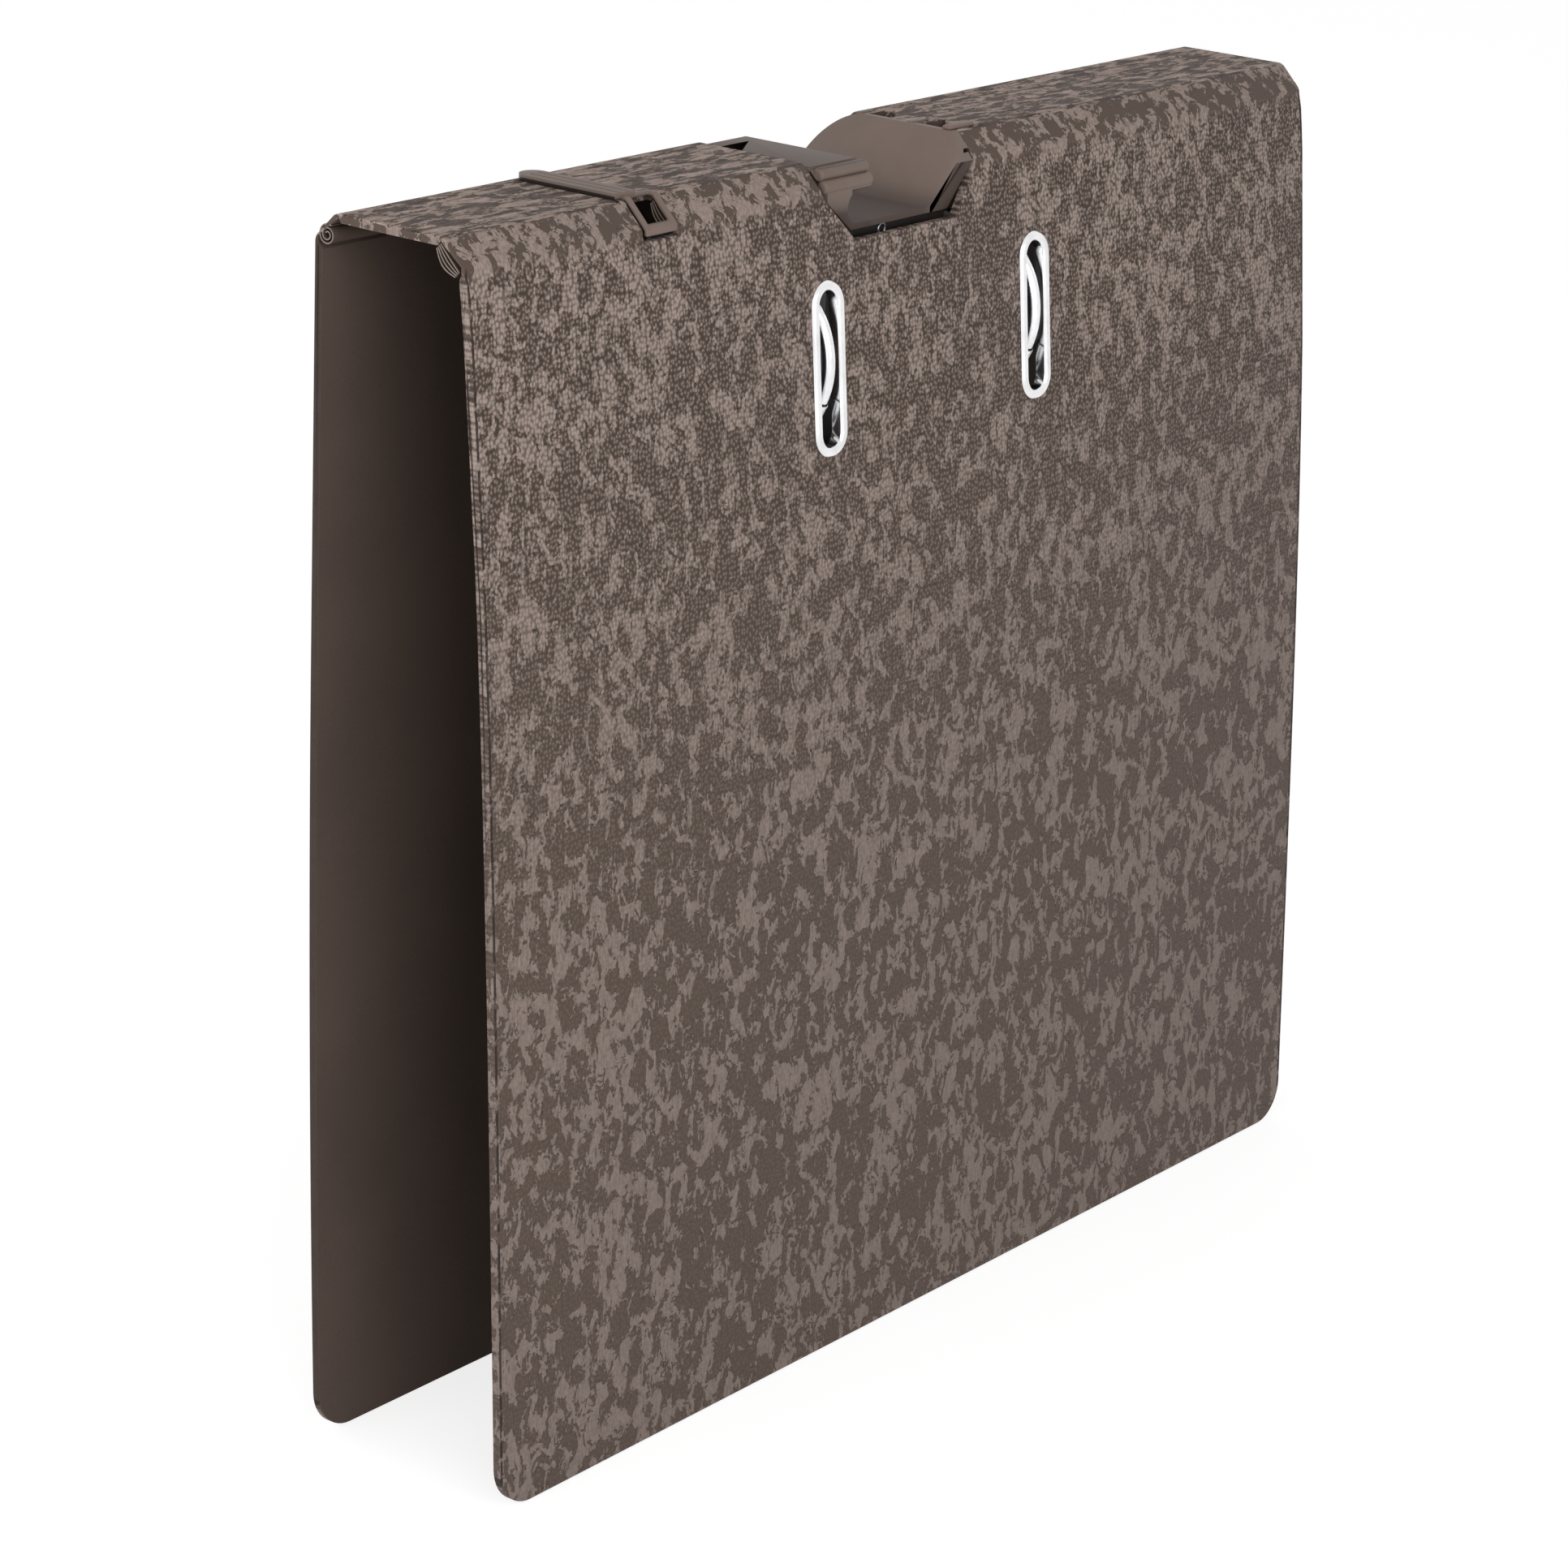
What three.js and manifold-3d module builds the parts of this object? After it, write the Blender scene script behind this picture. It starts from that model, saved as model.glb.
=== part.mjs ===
// A hanging lever arch file standing on the bottom edges of its two covers, as an upturned U.
// Millimetres. X runs along the spine, the front cover is on the -Y side and +Z is up.
import * as THREE from "three";
import { mergeVertices } from "three/addons/utils/BufferGeometryUtils.js";
import Module from "manifold-3d";

const wasm = await Module();
wasm.setup();

// Overall size of the file
const LENGTH = 318;
const HEIGHT = 285;
const DEPTH = 42.4;
const BOARD = 2;
const BEVEL = 5.85;
const CORNER_RADIUS = 10;
const HALF = DEPTH / 2;
const FOLD_Z = HEIGHT - BEVEL;
const FLAT_HALF = HALF - BEVEL;

// How far the foot of each cover stands from plumb, and how far the front cover bows
const FRONT_FLARE = 18.7;
const FRONT_BOW = 2.8;
const BOW_SKEW = 0.65;
const BACK_LEAN = 3.5;
const BACK_PLUMB_Z = HEIGHT - 95;

// Clearances between neighbours
const FOLD_GAP = 0.4;
const TURN_GAP = 0.3;
const SEAT = 0.05;

// Opening in the spine, and the notches it makes in both covers
const OPENING_LEFT = -39.8;
const OPENING_RIGHT = 19.6;
const NOTCH_FOOT_LEFT = -28.8;
const NOTCH_FOOT_RIGHT = 9.2;
const NOTCH_SHOULDER_LEFT = -38;
const NOTCH_SHOULDER_RIGHT = 18.4;
const NOTCH_FOOT_Z = HEIGHT - 18;
const NOTCH_SHOULDER_Z = HEIGHT - 9;

// Slotted eyelets
const ARCH_SPACING = 80;
const SLOT_Z = HEIGHT - 45.7;
const EYELET_LENGTH = 41;
const EYELET_WIDTH = 11.8;
const SLOT_LENGTH = 36;
const SLOT_WIDTH = 6.8;
const FLAT_TOP_Z = HEIGHT - 21;
const FLAT_FOOT_Z = HEIGHT - 71;
const EYELET_WALL = 0.5;
const EYELET_PROUD = 0.9;

// Mechanism
const PLATE = 1.2;
const PLATE_LENGTH = 104;
const PLATE_TOP_Z = HEIGHT - 19;
const PLATE_FOOT_Z = HEIGHT - 72;
const WIRE_RADIUS = 1.5;
const POST_RADIUS = 1.9;
const ARCH_RADIUS = 20;
const ARCH_Z = HEIGHT - 45.4;
const ARCH_PROUD = 1.4;
const PIVOT_Y = HALF - 6.2;
const PIVOT_Z = ARCH_Z + ARCH_RADIUS;
const POST_Z = ARCH_Z - ARCH_RADIUS;
const CRANK_HALF = 3.5;
const CRANK_DROP = 11;
const BEND_RADIUS = 2.5;
const LEVER_Y = HALF - 15.2;
const LEVER_Z = PIVOT_Z - 6;
const LEVER_LENGTH = 62;
const LEVER_HALF = 7.5;
const SHEET = 1.2;
const CHEEK_INNER = 8.5;
const CHEEK_BELOW = 6;
const CHEEK_ABOVE = 10;
const CHEEK_REACH = 3.5;
const LUG_X = 27;
const LUG_HALF = 3;
const ROLLER_Y = LEVER_Y + 4.9;
const ROLLER_Z = LEVER_Z - 5;
const ROLLER_RADIUS = 2.4;
const PIN_RADIUS = 1.5;
const ROLLER_PIN_RADIUS = 1;
const RIVET_X = 47;
const RIVET_RADIUS = 1.6;
const RIVET_HEAD = 3.5;
const RIVET_DOME = 1;

const BACK_IN = HALF - BOARD;
const PLATE_BACK = BACK_IN - SEAT;
const PLATE_FRONT = PLATE_BACK - PLATE;

// Finishes
const board = new THREE.MeshStandardMaterial({ color: 0x655850, roughness: 0.85, metalness: 0 });
const plastic = new THREE.MeshStandardMaterial({ color: 0x6f635c, roughness: 0.55, metalness: 0 });
const nickel = new THREE.MeshStandardMaterial({ color: 0xdedede, roughness: 0.2, metalness: 1 });
const zinc = new THREE.MeshStandardMaterial({ color: 0xb9bbbd, roughness: 0.4, metalness: 1 });
const black = new THREE.MeshStandardMaterial({ color: 0x1c1b1a, roughness: 0.5, metalness: 0 });

// A closed three.js geometry as a solid that can be joined and cut.
function solid(geometry) {
  const bare = geometry.index ? geometry.toNonIndexed() : geometry.clone();
  bare.deleteAttribute("normal");
  bare.deleteAttribute("uv");
  const merged = mergeVertices(bare, 1e-4);
  return new wasm.Manifold(
    new wasm.Mesh({
      numProp: 3,
      vertProperties: merged.attributes.position.array,
      triVerts: new Uint32Array(merged.index.array),
    }),
  );
}

// The solid as a three.js geometry with flat shading normals.
function geometryOf(made) {
  const mesh = made.getMesh();
  const positions = new Float32Array(mesh.numVert * 3);
  for (let i = 0; i < mesh.numVert; i += 1) {
    for (let axis = 0; axis < 3; axis += 1) {
      positions[i * 3 + axis] = mesh.vertProperties[i * mesh.numProp + axis];
    }
  }
  const geometry = new THREE.BufferGeometry();
  geometry.setAttribute("position", new THREE.BufferAttribute(positions, 3));
  geometry.setIndex(new THREE.BufferAttribute(new Uint32Array(mesh.triVerts), 1));
  geometry.computeVertexNormals();
  return geometry;
}

// A closed outline from plain [a, b] points.
function outline(points) {
  return new THREE.Shape(points.map(([a, b]) => new THREE.Vector2(a, b)));
}

// A Y-Z section carried along X from one end to the other.
function along(shape, from, to) {
  const geometry = new THREE.ExtrudeGeometry(shape, { depth: to - from, bevelEnabled: false });
  const turn = new THREE.Matrix4().makeBasis(
    new THREE.Vector3(0, 1, 0),
    new THREE.Vector3(0, 0, 1),
    new THREE.Vector3(1, 0, 0),
  );
  return geometry.applyMatrix4(turn).translate(from, 0, 0);
}

// An X-Z outline carried along Y from one depth to the other.
function through(shape, from, to) {
  const geometry = new THREE.ExtrudeGeometry(shape, {
    depth: to - from,
    bevelEnabled: false,
    curveSegments: 10,
  });
  return geometry.rotateX(Math.PI / 2).translate(0, to, 0);
}

// An X-Y outline carried up Z from one level to the other.
function upward(shape, from, to) {
  const geometry = new THREE.ExtrudeGeometry(shape, {
    depth: to - from,
    bevelEnabled: false,
    curveSegments: 10,
  });
  return geometry.translate(0, 0, from);
}

// A box between two corners.
function block(x0, x1, y0, y1, z0, z1) {
  const geometry = new THREE.BoxGeometry(x1 - x0, y1 - y0, z1 - z0);
  return geometry.translate((x0 + x1) / 2, (y0 + y1) / 2, (z0 + z1) / 2);
}

// A round bar along X.
function barX(radius, x0, x1, y, z, sides = 24) {
  const geometry = new THREE.CylinderGeometry(radius, radius, x1 - x0, sides);
  return geometry.rotateZ(Math.PI / 2).translate((x0 + x1) / 2, y, z);
}

// A slot outline with half-round ends, upright, about its own middle.
function stadium(width, length) {
  const shape = new THREE.Shape();
  const radius = width / 2;
  const reach = length / 2 - radius;
  shape.absarc(0, reach, radius, 0, Math.PI, false);
  shape.absarc(0, -reach, radius, Math.PI, 2 * Math.PI, false);
  shape.closePath();
  return shape;
}

// Outer face of the front cover at a height, measured outwards from the middle of the spine.
function frontCurve(z) {
  const t = (FOLD_Z - z) / FOLD_Z;
  return HALF + FRONT_FLARE * t + FRONT_BOW * Math.sin(Math.PI * Math.pow(t, BOW_SKEW));
}

// The same face with the straight run that the eyelets sit on.
function frontFace(z) {
  if (z < FLAT_FOOT_Z || z > FLAT_TOP_Z) {
    return frontCurve(z);
  }
  const share = (FLAT_TOP_Z - z) / (FLAT_TOP_Z - FLAT_FOOT_Z);
  return frontCurve(FLAT_TOP_Z) + share * (frontCurve(FLAT_FOOT_Z) - frontCurve(FLAT_TOP_Z));
}

// Outer face of the back cover at a height: plumb behind the mechanism, leaning in below it.
function backFace(z) {
  const t = Math.max(0, (BACK_PLUMB_Z - z) / BACK_PLUMB_Z);
  return HALF - BACK_LEAN * t * t;
}

const SLOT_LEAN = Math.atan2(
  frontCurve(FLAT_FOOT_Z) - frontCurve(FLAT_TOP_Z),
  FLAT_TOP_Z - FLAT_FOOT_Z,
);

// Lays a flat piece drawn about its middle on the front cover at one of the slots.
function onSlot(geometry, x) {
  return geometry.rotateX(Math.PI / 2 - SLOT_LEAN).translate(x, -frontFace(SLOT_Z), SLOT_Z);
}

// The rounded outline of a cover.
function coverOutline() {
  const side = LENGTH / 2;
  const shape = new THREE.Shape();
  shape.moveTo(-side, HEIGHT);
  shape.lineTo(-side, CORNER_RADIUS);
  shape.absarc(-side + CORNER_RADIUS, CORNER_RADIUS, CORNER_RADIUS, Math.PI, 1.5 * Math.PI, false);
  shape.absarc(side - CORNER_RADIUS, CORNER_RADIUS, CORNER_RADIUS, 1.5 * Math.PI, 2 * Math.PI, false);
  shape.lineTo(side, HEIGHT);
  shape.closePath();
  return shape;
}

// The notch that the hanger stands in.
function notch() {
  return outline([
    [OPENING_LEFT, HEIGHT + 2],
    [OPENING_LEFT, FOLD_Z],
    [NOTCH_SHOULDER_LEFT, NOTCH_SHOULDER_Z],
    [NOTCH_FOOT_LEFT, NOTCH_FOOT_Z],
    [NOTCH_FOOT_RIGHT, NOTCH_FOOT_Z],
    [NOTCH_SHOULDER_RIGHT, FOLD_Z],
    [OPENING_RIGHT, HEIGHT + 2],
  ]);
}

// A cover board: its bowed section, cut to the rounded outline. side is -1 for the front.
function coverBoard(face, side) {
  const levels = [];
  for (let step = 0; step <= 6; step += 1) {
    levels.push((BACK_PLUMB_Z * step) / 6);
  }
  levels.push(FLAT_FOOT_Z, FLAT_TOP_Z);
  const foldTop = FOLD_Z - 0.6 * FOLD_GAP;
  const mitre = BOARD * Math.tan(Math.PI / 8);
  const outer = levels.map((z) => [side * face(z), z]);
  const inner = levels.map((z) => [side * (face(z) - BOARD), z]);
  outer.push([side * HALF, foldTop]);
  inner.push([side * (HALF - BOARD), foldTop - mitre]);
  const ring = outer.concat(inner.reverse());
  const section = side < 0 ? ring.reverse() : ring;
  const sheet = solid(along(outline(section), -LENGTH / 2, LENGTH / 2));
  const cut = solid(through(coverOutline(), -100, 100));
  return sheet.intersect(cut).subtract(solid(through(notch(), -100, 100)));
}

// Room in the front fold for the strap's loop.
const LOOP_LEFT = -LENGTH / 2 + 57.8;
const LOOP_WIDTH = 10.4;
const LOOP_RIGHT = LOOP_LEFT + LOOP_WIDTH;
const LOOP_BACK_Y = -HALF + 8.6;
const LOOP_DROP = 1.35;
const LOOP_FOOT_Z = FOLD_Z - LOOP_DROP;
const LOOP_PROUD = 0.5;

function loopRoom() {
  return block(
    LOOP_LEFT - TURN_GAP,
    LOOP_RIGHT + TURN_GAP,
    -HALF - 10,
    LOOP_BACK_Y + TURN_GAP,
    LOOP_FOOT_Z - 2 * TURN_GAP,
    HEIGHT + 5,
  );
}

function frontCover() {
  let made = coverBoard(frontFace, -1);
  for (const x of [-ARCH_SPACING / 2, ARCH_SPACING / 2]) {
    const grow = 2 * (EYELET_WALL + TURN_GAP);
    const hole = new THREE.ExtrudeGeometry(stadium(SLOT_WIDTH + grow, SLOT_LENGTH + grow), {
      depth: 4 * BOARD,
      bevelEnabled: false,
      curveSegments: 10,
    });
    made = made.subtract(solid(onSlot(hole.translate(0, 0, -3 * BOARD), x)));
  }
  return made.subtract(solid(loopRoom()));
}

function backCover() {
  let made = coverBoard(backFace, 1);
  for (const x of [-RIVET_X, RIVET_X]) {
    for (const z of [PLATE_FOOT_Z + 6, PLATE_TOP_Z - 6]) {
      made = made.subtract(solid(rivetHole(x, z)));
    }
  }
  return made;
}

function rivetHole(x, z) {
  const geometry = new THREE.CylinderGeometry(RIVET_RADIUS + TURN_GAP, RIVET_RADIUS + TURN_GAP, 20, 24);
  return geometry.translate(x, HALF, z);
}

// The spine's section: flat top, a bevel along each fold, and the crease roll under each bevel.
const ROLL_RADIUS = 2.3;

function spineSection() {
  const mitre = BOARD * Math.tan(Math.PI / 8);
  const foot = FOLD_Z + 0.4 * FOLD_GAP;
  const half = [
    [FLAT_HALF, HEIGHT],
    [HALF, foot],
    [HALF - BOARD, foot - mitre],
  ];
  const middle = [HALF - BOARD - BEVEL / 2 + mitre / 2 + 0.1, FOLD_Z - mitre + BEVEL / 2 - mitre / 2 + 0.1];
  for (let step = 0; step <= 8; step += 1) {
    const angle = Math.PI * 1.75 - (Math.PI * step) / 8;
    half.push([middle[0] + ROLL_RADIUS * Math.cos(angle), middle[1] + ROLL_RADIUS * Math.sin(angle)]);
  }
  half.push([FLAT_HALF - mitre, HEIGHT - BOARD]);
  const mirrored = half.map(([y, z]) => [-y, z]).reverse();
  return outline(half.concat(mirrored).reverse());
}

function spineLeft() {
  const made = solid(along(spineSection(), -LENGTH / 2, OPENING_LEFT));
  return made.subtract(solid(loopRoom()));
}

// Two three-cornered clip holes open into the edge of the hanger opening.
const CLIP_DEPTH = 6.4;
const CLIP_HALF = 4.8;
const CLIP_YS = [9.5, -5.5];

function spineRight() {
  let made = solid(along(spineSection(), OPENING_RIGHT, LENGTH / 2));
  for (const y of CLIP_YS) {
    const hole = outline([
      [OPENING_RIGHT - 1, y - CLIP_HALF],
      [OPENING_RIGHT + 1, y - CLIP_HALF],
      [OPENING_RIGHT + CLIP_DEPTH, y],
      [OPENING_RIGHT + 1, y + CLIP_HALF],
      [OPENING_RIGHT - 1, y + CLIP_HALF],
    ]);
    made = made.subtract(solid(upward(hole, HEIGHT - 2 * BOARD, HEIGHT + 1)));
  }
  return made;
}

// Levels and edges of the hanger's channel
const LIP_LEFT = -36;
const LIP_RIGHT = -21;
const LIP_TOP_Z = HEIGHT - 1;
const LIP_UNDER_Z = HEIGHT - 7;
const CUP_X = -26;
const FLOOR_TOP_Z = HEIGHT - 14.7;
const FLOOR_Z = FLOOR_TOP_Z - 1.4;
const WALL_FOOT_X = 1.5;
const WALL_TOP_X = 17.3;
const WALL = 1.7;
const HANGER_LEFT = -37.5;
const FLANGE_LEFT = -47;
const FLANGE_RIGHT = 27.5;
const FLANGE_TOP_Z = HEIGHT - BOARD - 0.3;
const FLANGE = 1.2;
const FLANGE_REACH = 11.5;
const BACK_ROUND = 10;
const RIB_RADIUS = 1.6;
const END_WALL = 1.6;
const BAR_LENGTH = 9.7;
const BAR_FRONT_Y = -FLAT_HALF + 1.15;
const BAR_BACK_Y = BAR_FRONT_Y + 2.3;

// The hook-shaped channel in front view: lip on the left, floor, and the leaning wall.
function channelShape() {
  const shape = new THREE.Shape();
  const cupRadius = (LIP_UNDER_Z - FLOOR_TOP_Z) / 2;
  shape.moveTo(LIP_LEFT, LIP_TOP_Z);
  shape.lineTo(LIP_LEFT - 0.6, FLANGE_TOP_Z);
  shape.lineTo(FLANGE_LEFT, FLANGE_TOP_Z);
  shape.lineTo(FLANGE_LEFT, FLANGE_TOP_Z - FLANGE);
  shape.lineTo(HANGER_LEFT, FLANGE_TOP_Z - FLANGE);
  shape.lineTo(HANGER_LEFT, NOTCH_SHOULDER_Z + 0.3);
  shape.lineTo(NOTCH_FOOT_LEFT + 0.5, FLOOR_Z);
  shape.lineTo(WALL_FOOT_X + WALL / 2, FLOOR_Z);
  shape.lineTo(WALL_TOP_X + WALL - 2.3, FLANGE_TOP_Z - FLANGE);
  shape.lineTo(FLANGE_RIGHT, FLANGE_TOP_Z - FLANGE);
  shape.lineTo(FLANGE_RIGHT, FLANGE_TOP_Z);
  shape.lineTo(WALL_TOP_X + WALL - 0.4, FLANGE_TOP_Z);
  shape.lineTo(WALL_TOP_X + WALL, HEIGHT);
  shape.lineTo(WALL_TOP_X, HEIGHT);
  shape.lineTo(WALL_FOOT_X, FLOOR_TOP_Z);
  shape.absarc(CUP_X, FLOOR_TOP_Z + cupRadius, cupRadius, 1.5 * Math.PI, 0.5 * Math.PI, true);
  shape.lineTo(LIP_RIGHT - 1.8, LIP_UNDER_Z);
  shape.lineTo(LIP_RIGHT, LIP_UNDER_Z + 1.8);
  shape.lineTo(LIP_RIGHT, LIP_TOP_Z - 0.8);
  shape.lineTo(LIP_RIGHT - 0.8, LIP_TOP_Z);
  shape.closePath();
  return shape;
}

// The space the hanger may fill: inside the folds, with a round upper corner at the back.
function hangerRoom() {
  const corners = [
    [-HALF, FLOOR_Z - 2],
    [HALF, FLOOR_Z - 2],
  ];
  for (let step = 0; step <= 8; step += 1) {
    const angle = (Math.PI * step) / 16;
    const out = HALF - BACK_ROUND + BACK_ROUND * Math.cos(angle);
    corners.push([out, HEIGHT - BACK_ROUND + BACK_ROUND * Math.sin(angle)]);
  }
  corners.push([-FLAT_HALF, HEIGHT], [-HALF, FOLD_Z]);
  return outline(corners);
}

function hanger() {
  let made = solid(through(channelShape(), -HALF, HALF));
  const room = solid(along(hangerRoom(), FLANGE_LEFT - 5, FLANGE_RIGHT + 5));
  made = made.intersect(room);
  // the flanges under the spine board stop short of the crease rolls
  for (const [from, to] of [[-HALF - 1, -FLANGE_REACH], [FLANGE_REACH, HALF + 1]]) {
    made = made.subtract(solid(block(FLANGE_LEFT - 1, OPENING_LEFT + 0.6, from, to, FLOOR_Z, HEIGHT)));
    made = made.subtract(solid(block(OPENING_RIGHT - 0.6, FLANGE_RIGHT + 1, from, to, FLOOR_Z, HEIGHT)));
  }
  // end flanges that fill the slanting side of each notch
  const ear = outline([
    [WALL_FOOT_X, FLOOR_TOP_Z],
    [WALL_FOOT_X, FLOOR_Z],
    [NOTCH_FOOT_RIGHT - 1, FLOOR_Z],
    [NOTCH_SHOULDER_RIGHT - 0.9, FOLD_Z],
    [NOTCH_SHOULDER_RIGHT - 0.4, HEIGHT - BOARD],
    [WALL_TOP_X - 2, HEIGHT - BOARD],
  ]);
  const nearEnd = solid(through(ear, -HALF, -HALF + END_WALL));
  const farEnd = solid(through(ear, HALF - END_WALL, HALF));
  made = made.add(nearEnd.add(farEnd).intersect(room));
  // two rounded ribs across the front end of the lip
  made = made.add(solid(barX(RIB_RADIUS, HANGER_LEFT, LIP_RIGHT, -HALF + 2.5, HEIGHT - 2.5)));
  made = made.add(solid(barX(RIB_RADIUS, HANGER_LEFT, LIP_RIGHT, -HALF + 1.1, HEIGHT - 5.2)));
  // clips that stand in the three-cornered holes, and the small bar beside them
  for (const y of CLIP_YS) {
    const clip = outline([
      [WALL_TOP_X + 0.5, y + CLIP_HALF - 1.6],
      [OPENING_RIGHT + 1, y + CLIP_HALF - 1.6],
      [OPENING_RIGHT + 3, y + 1.6],
      [OPENING_RIGHT + 3, y + 0.8],
      [WALL_TOP_X + 0.5, y + 0.8],
    ]);
    made = made.add(solid(upward(clip, FLANGE_TOP_Z - 0.5, HEIGHT + 1.1)));
  }
  const barEnd = WALL_TOP_X + BAR_LENGTH;
  const root = WALL_TOP_X + WALL;
  made = made.add(solid(block(WALL_TOP_X, barEnd, BAR_FRONT_Y, BAR_BACK_Y, HEIGHT + SEAT, HEIGHT + 1)));
  return made.add(solid(block(WALL_TOP_X, root, BAR_FRONT_Y, BAR_BACK_Y, HEIGHT - 1, HEIGHT + 1)));
}

// The strap's Y-Z section where it lies in the front fold.
function loopSection() {
  const out = LOOP_PROUD;
  return outline([
    [LOOP_BACK_Y, HEIGHT - BOARD + 0.4],
    [-FLAT_HALF + 0.7, HEIGHT - BOARD + 0.4],
    [-HALF + BOARD - 0.4, FOLD_Z - 0.6],
    [-HALF + BOARD - 0.4, LOOP_FOOT_Z],
    [-HALF - out, LOOP_FOOT_Z],
    [-HALF - out, FOLD_Z + 0.2],
    [-FLAT_HALF - 0.2, HEIGHT + out],
    [LOOP_BACK_Y, HEIGHT + out],
  ].reverse());
}

const STRAP_LEFT = LOOP_LEFT - 2.4;
const STRAP_WIDTH = 7;
const STRAP_RIGHT = STRAP_LEFT + STRAP_WIDTH;
const STRAP_THICK = 1.3;
const STRAP_BACK_Y = FLAT_HALF - 0.15;

function strap() {
  let loop = solid(along(loopSection(), LOOP_LEFT, LOOP_RIGHT));
  const rim = 1.5;
  loop = loop.subtract(
    solid(block(LOOP_LEFT + rim, LOOP_RIGHT - rim, -HALF - 5, -FLAT_HALF + 1.6, FOLD_Z + 1.9, HEIGHT + 5)),
  );
  const radius = (STRAP_RIGHT - STRAP_LEFT) / 2;
  const plan = new THREE.Shape();
  plan.moveTo(STRAP_LEFT, -FLAT_HALF + 1.4);
  plan.lineTo(STRAP_RIGHT, -FLAT_HALF + 1.4);
  plan.lineTo(STRAP_RIGHT, STRAP_BACK_Y - radius);
  plan.absarc((STRAP_LEFT + STRAP_RIGHT) / 2, STRAP_BACK_Y - radius, radius, 0, Math.PI, false);
  plan.closePath();
  return solid(upward(plan, HEIGHT + SEAT, HEIGHT + STRAP_THICK)).add(loop);
}

// A slotted eyelet: a flange outside, the throat through the board and a smaller flange inside.
function eyelet(x) {
  const pieces = [
    [EYELET_WIDTH - 0.8, EYELET_LENGTH - 0.8, 0.6, EYELET_PROUD],
    [EYELET_WIDTH, EYELET_LENGTH, SEAT, 0.6],
    [SLOT_WIDTH + 2 * EYELET_WALL, SLOT_LENGTH + 2 * EYELET_WALL, -BOARD - 0.6, 0.5],
    [EYELET_WIDTH - 1.8, EYELET_LENGTH - 1.8, -BOARD - 0.7, -BOARD - SEAT],
  ];
  let made = null;
  for (const [width, length, from, to] of pieces) {
    const layer = new THREE.ExtrudeGeometry(stadium(width, length), {
      depth: to - from,
      bevelEnabled: false,
      curveSegments: 10,
    }).translate(0, 0, from);
    made = made ? made.add(solid(layer)) : solid(layer);
  }
  const hole = new THREE.ExtrudeGeometry(stadium(SLOT_WIDTH, SLOT_LENGTH), {
    depth: 3 * BOARD,
    bevelEnabled: false,
    curveSegments: 10,
  }).translate(0, 0, -2 * BOARD);
  const ring = geometryOf(made.subtract(solid(hole)));
  return onSlot(ring, x);
}

// Straight runs joined by round bends, as one smooth curve for a wire.
class WirePath extends THREE.Curve {
  constructor(corners) {
    super();
    this.path = new THREE.CurvePath();
    let last = corners[0].at;
    for (let i = 1; i < corners.length - 1; i += 1) {
      const here = corners[i].at;
      const next = corners[i + 1].at;
      const radius = corners[i].radius;
      const into = here.clone().sub(corners[i - 1].at).normalize();
      const away = next.clone().sub(here).normalize();
      const turn = into.angleTo(away);
      const back = radius * Math.tan(turn / 2);
      const start = here.clone().addScaledVector(into, -back);
      const normal = away.clone().sub(into).normalize();
      const centre = here.clone().addScaledVector(normal, radius / Math.cos(turn / 2));
      if (start.distanceTo(last) > 0.01) {
        this.path.add(new THREE.LineCurve3(last, start));
      }
      this.path.add(new BendCurve(centre, start, into, turn));
      last = here.clone().addScaledVector(away, back);
    }
    this.path.add(new THREE.LineCurve3(last, corners[corners.length - 1].at));
  }

  getPoint(t, target = new THREE.Vector3()) {
    return target.copy(this.path.getPoint(t));
  }
}

// A round bend from a start point, turning away from its first direction about a centre.
class BendCurve extends THREE.Curve {
  constructor(centre, start, into, turn) {
    super();
    this.centre = centre;
    this.spoke = start.clone().sub(centre);
    this.axis = this.spoke.clone().cross(into).normalize();
    this.turn = turn;
  }

  getPoint(t, target = new THREE.Vector3()) {
    return target.copy(this.spoke).applyAxisAngle(this.axis, this.turn * t).add(this.centre);
  }
}

// A round wire along a path.
function wire(path, radius, steps, sides) {
  const circle = new THREE.Shape().absarc(0, 0, radius, 0, 2 * Math.PI, false);
  return new THREE.ExtrudeGeometry(circle, {
    steps,
    curveSegments: sides,
    bevelEnabled: false,
    extrudePath: path,
  });
}

const ARCH_OUT = frontFace(ARCH_Z) + ARCH_PROUD;
const ARCH_Y = -(ARCH_OUT - WIRE_RADIUS - ARCH_RADIUS);
const MEET_ANGLE = (65 * Math.PI) / 180;
const WIRE_STEPS = 160;
const POST_STEPS = 24;

// A point of an arch's centre line; 0 is level with the post side and pi with the pivot side.
function archPoint(x, angle) {
  return new THREE.Vector3(
    x,
    ARCH_Y - ARCH_RADIUS * Math.sin(angle),
    ARCH_Z - ARCH_RADIUS * Math.cos(angle),
  );
}

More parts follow.
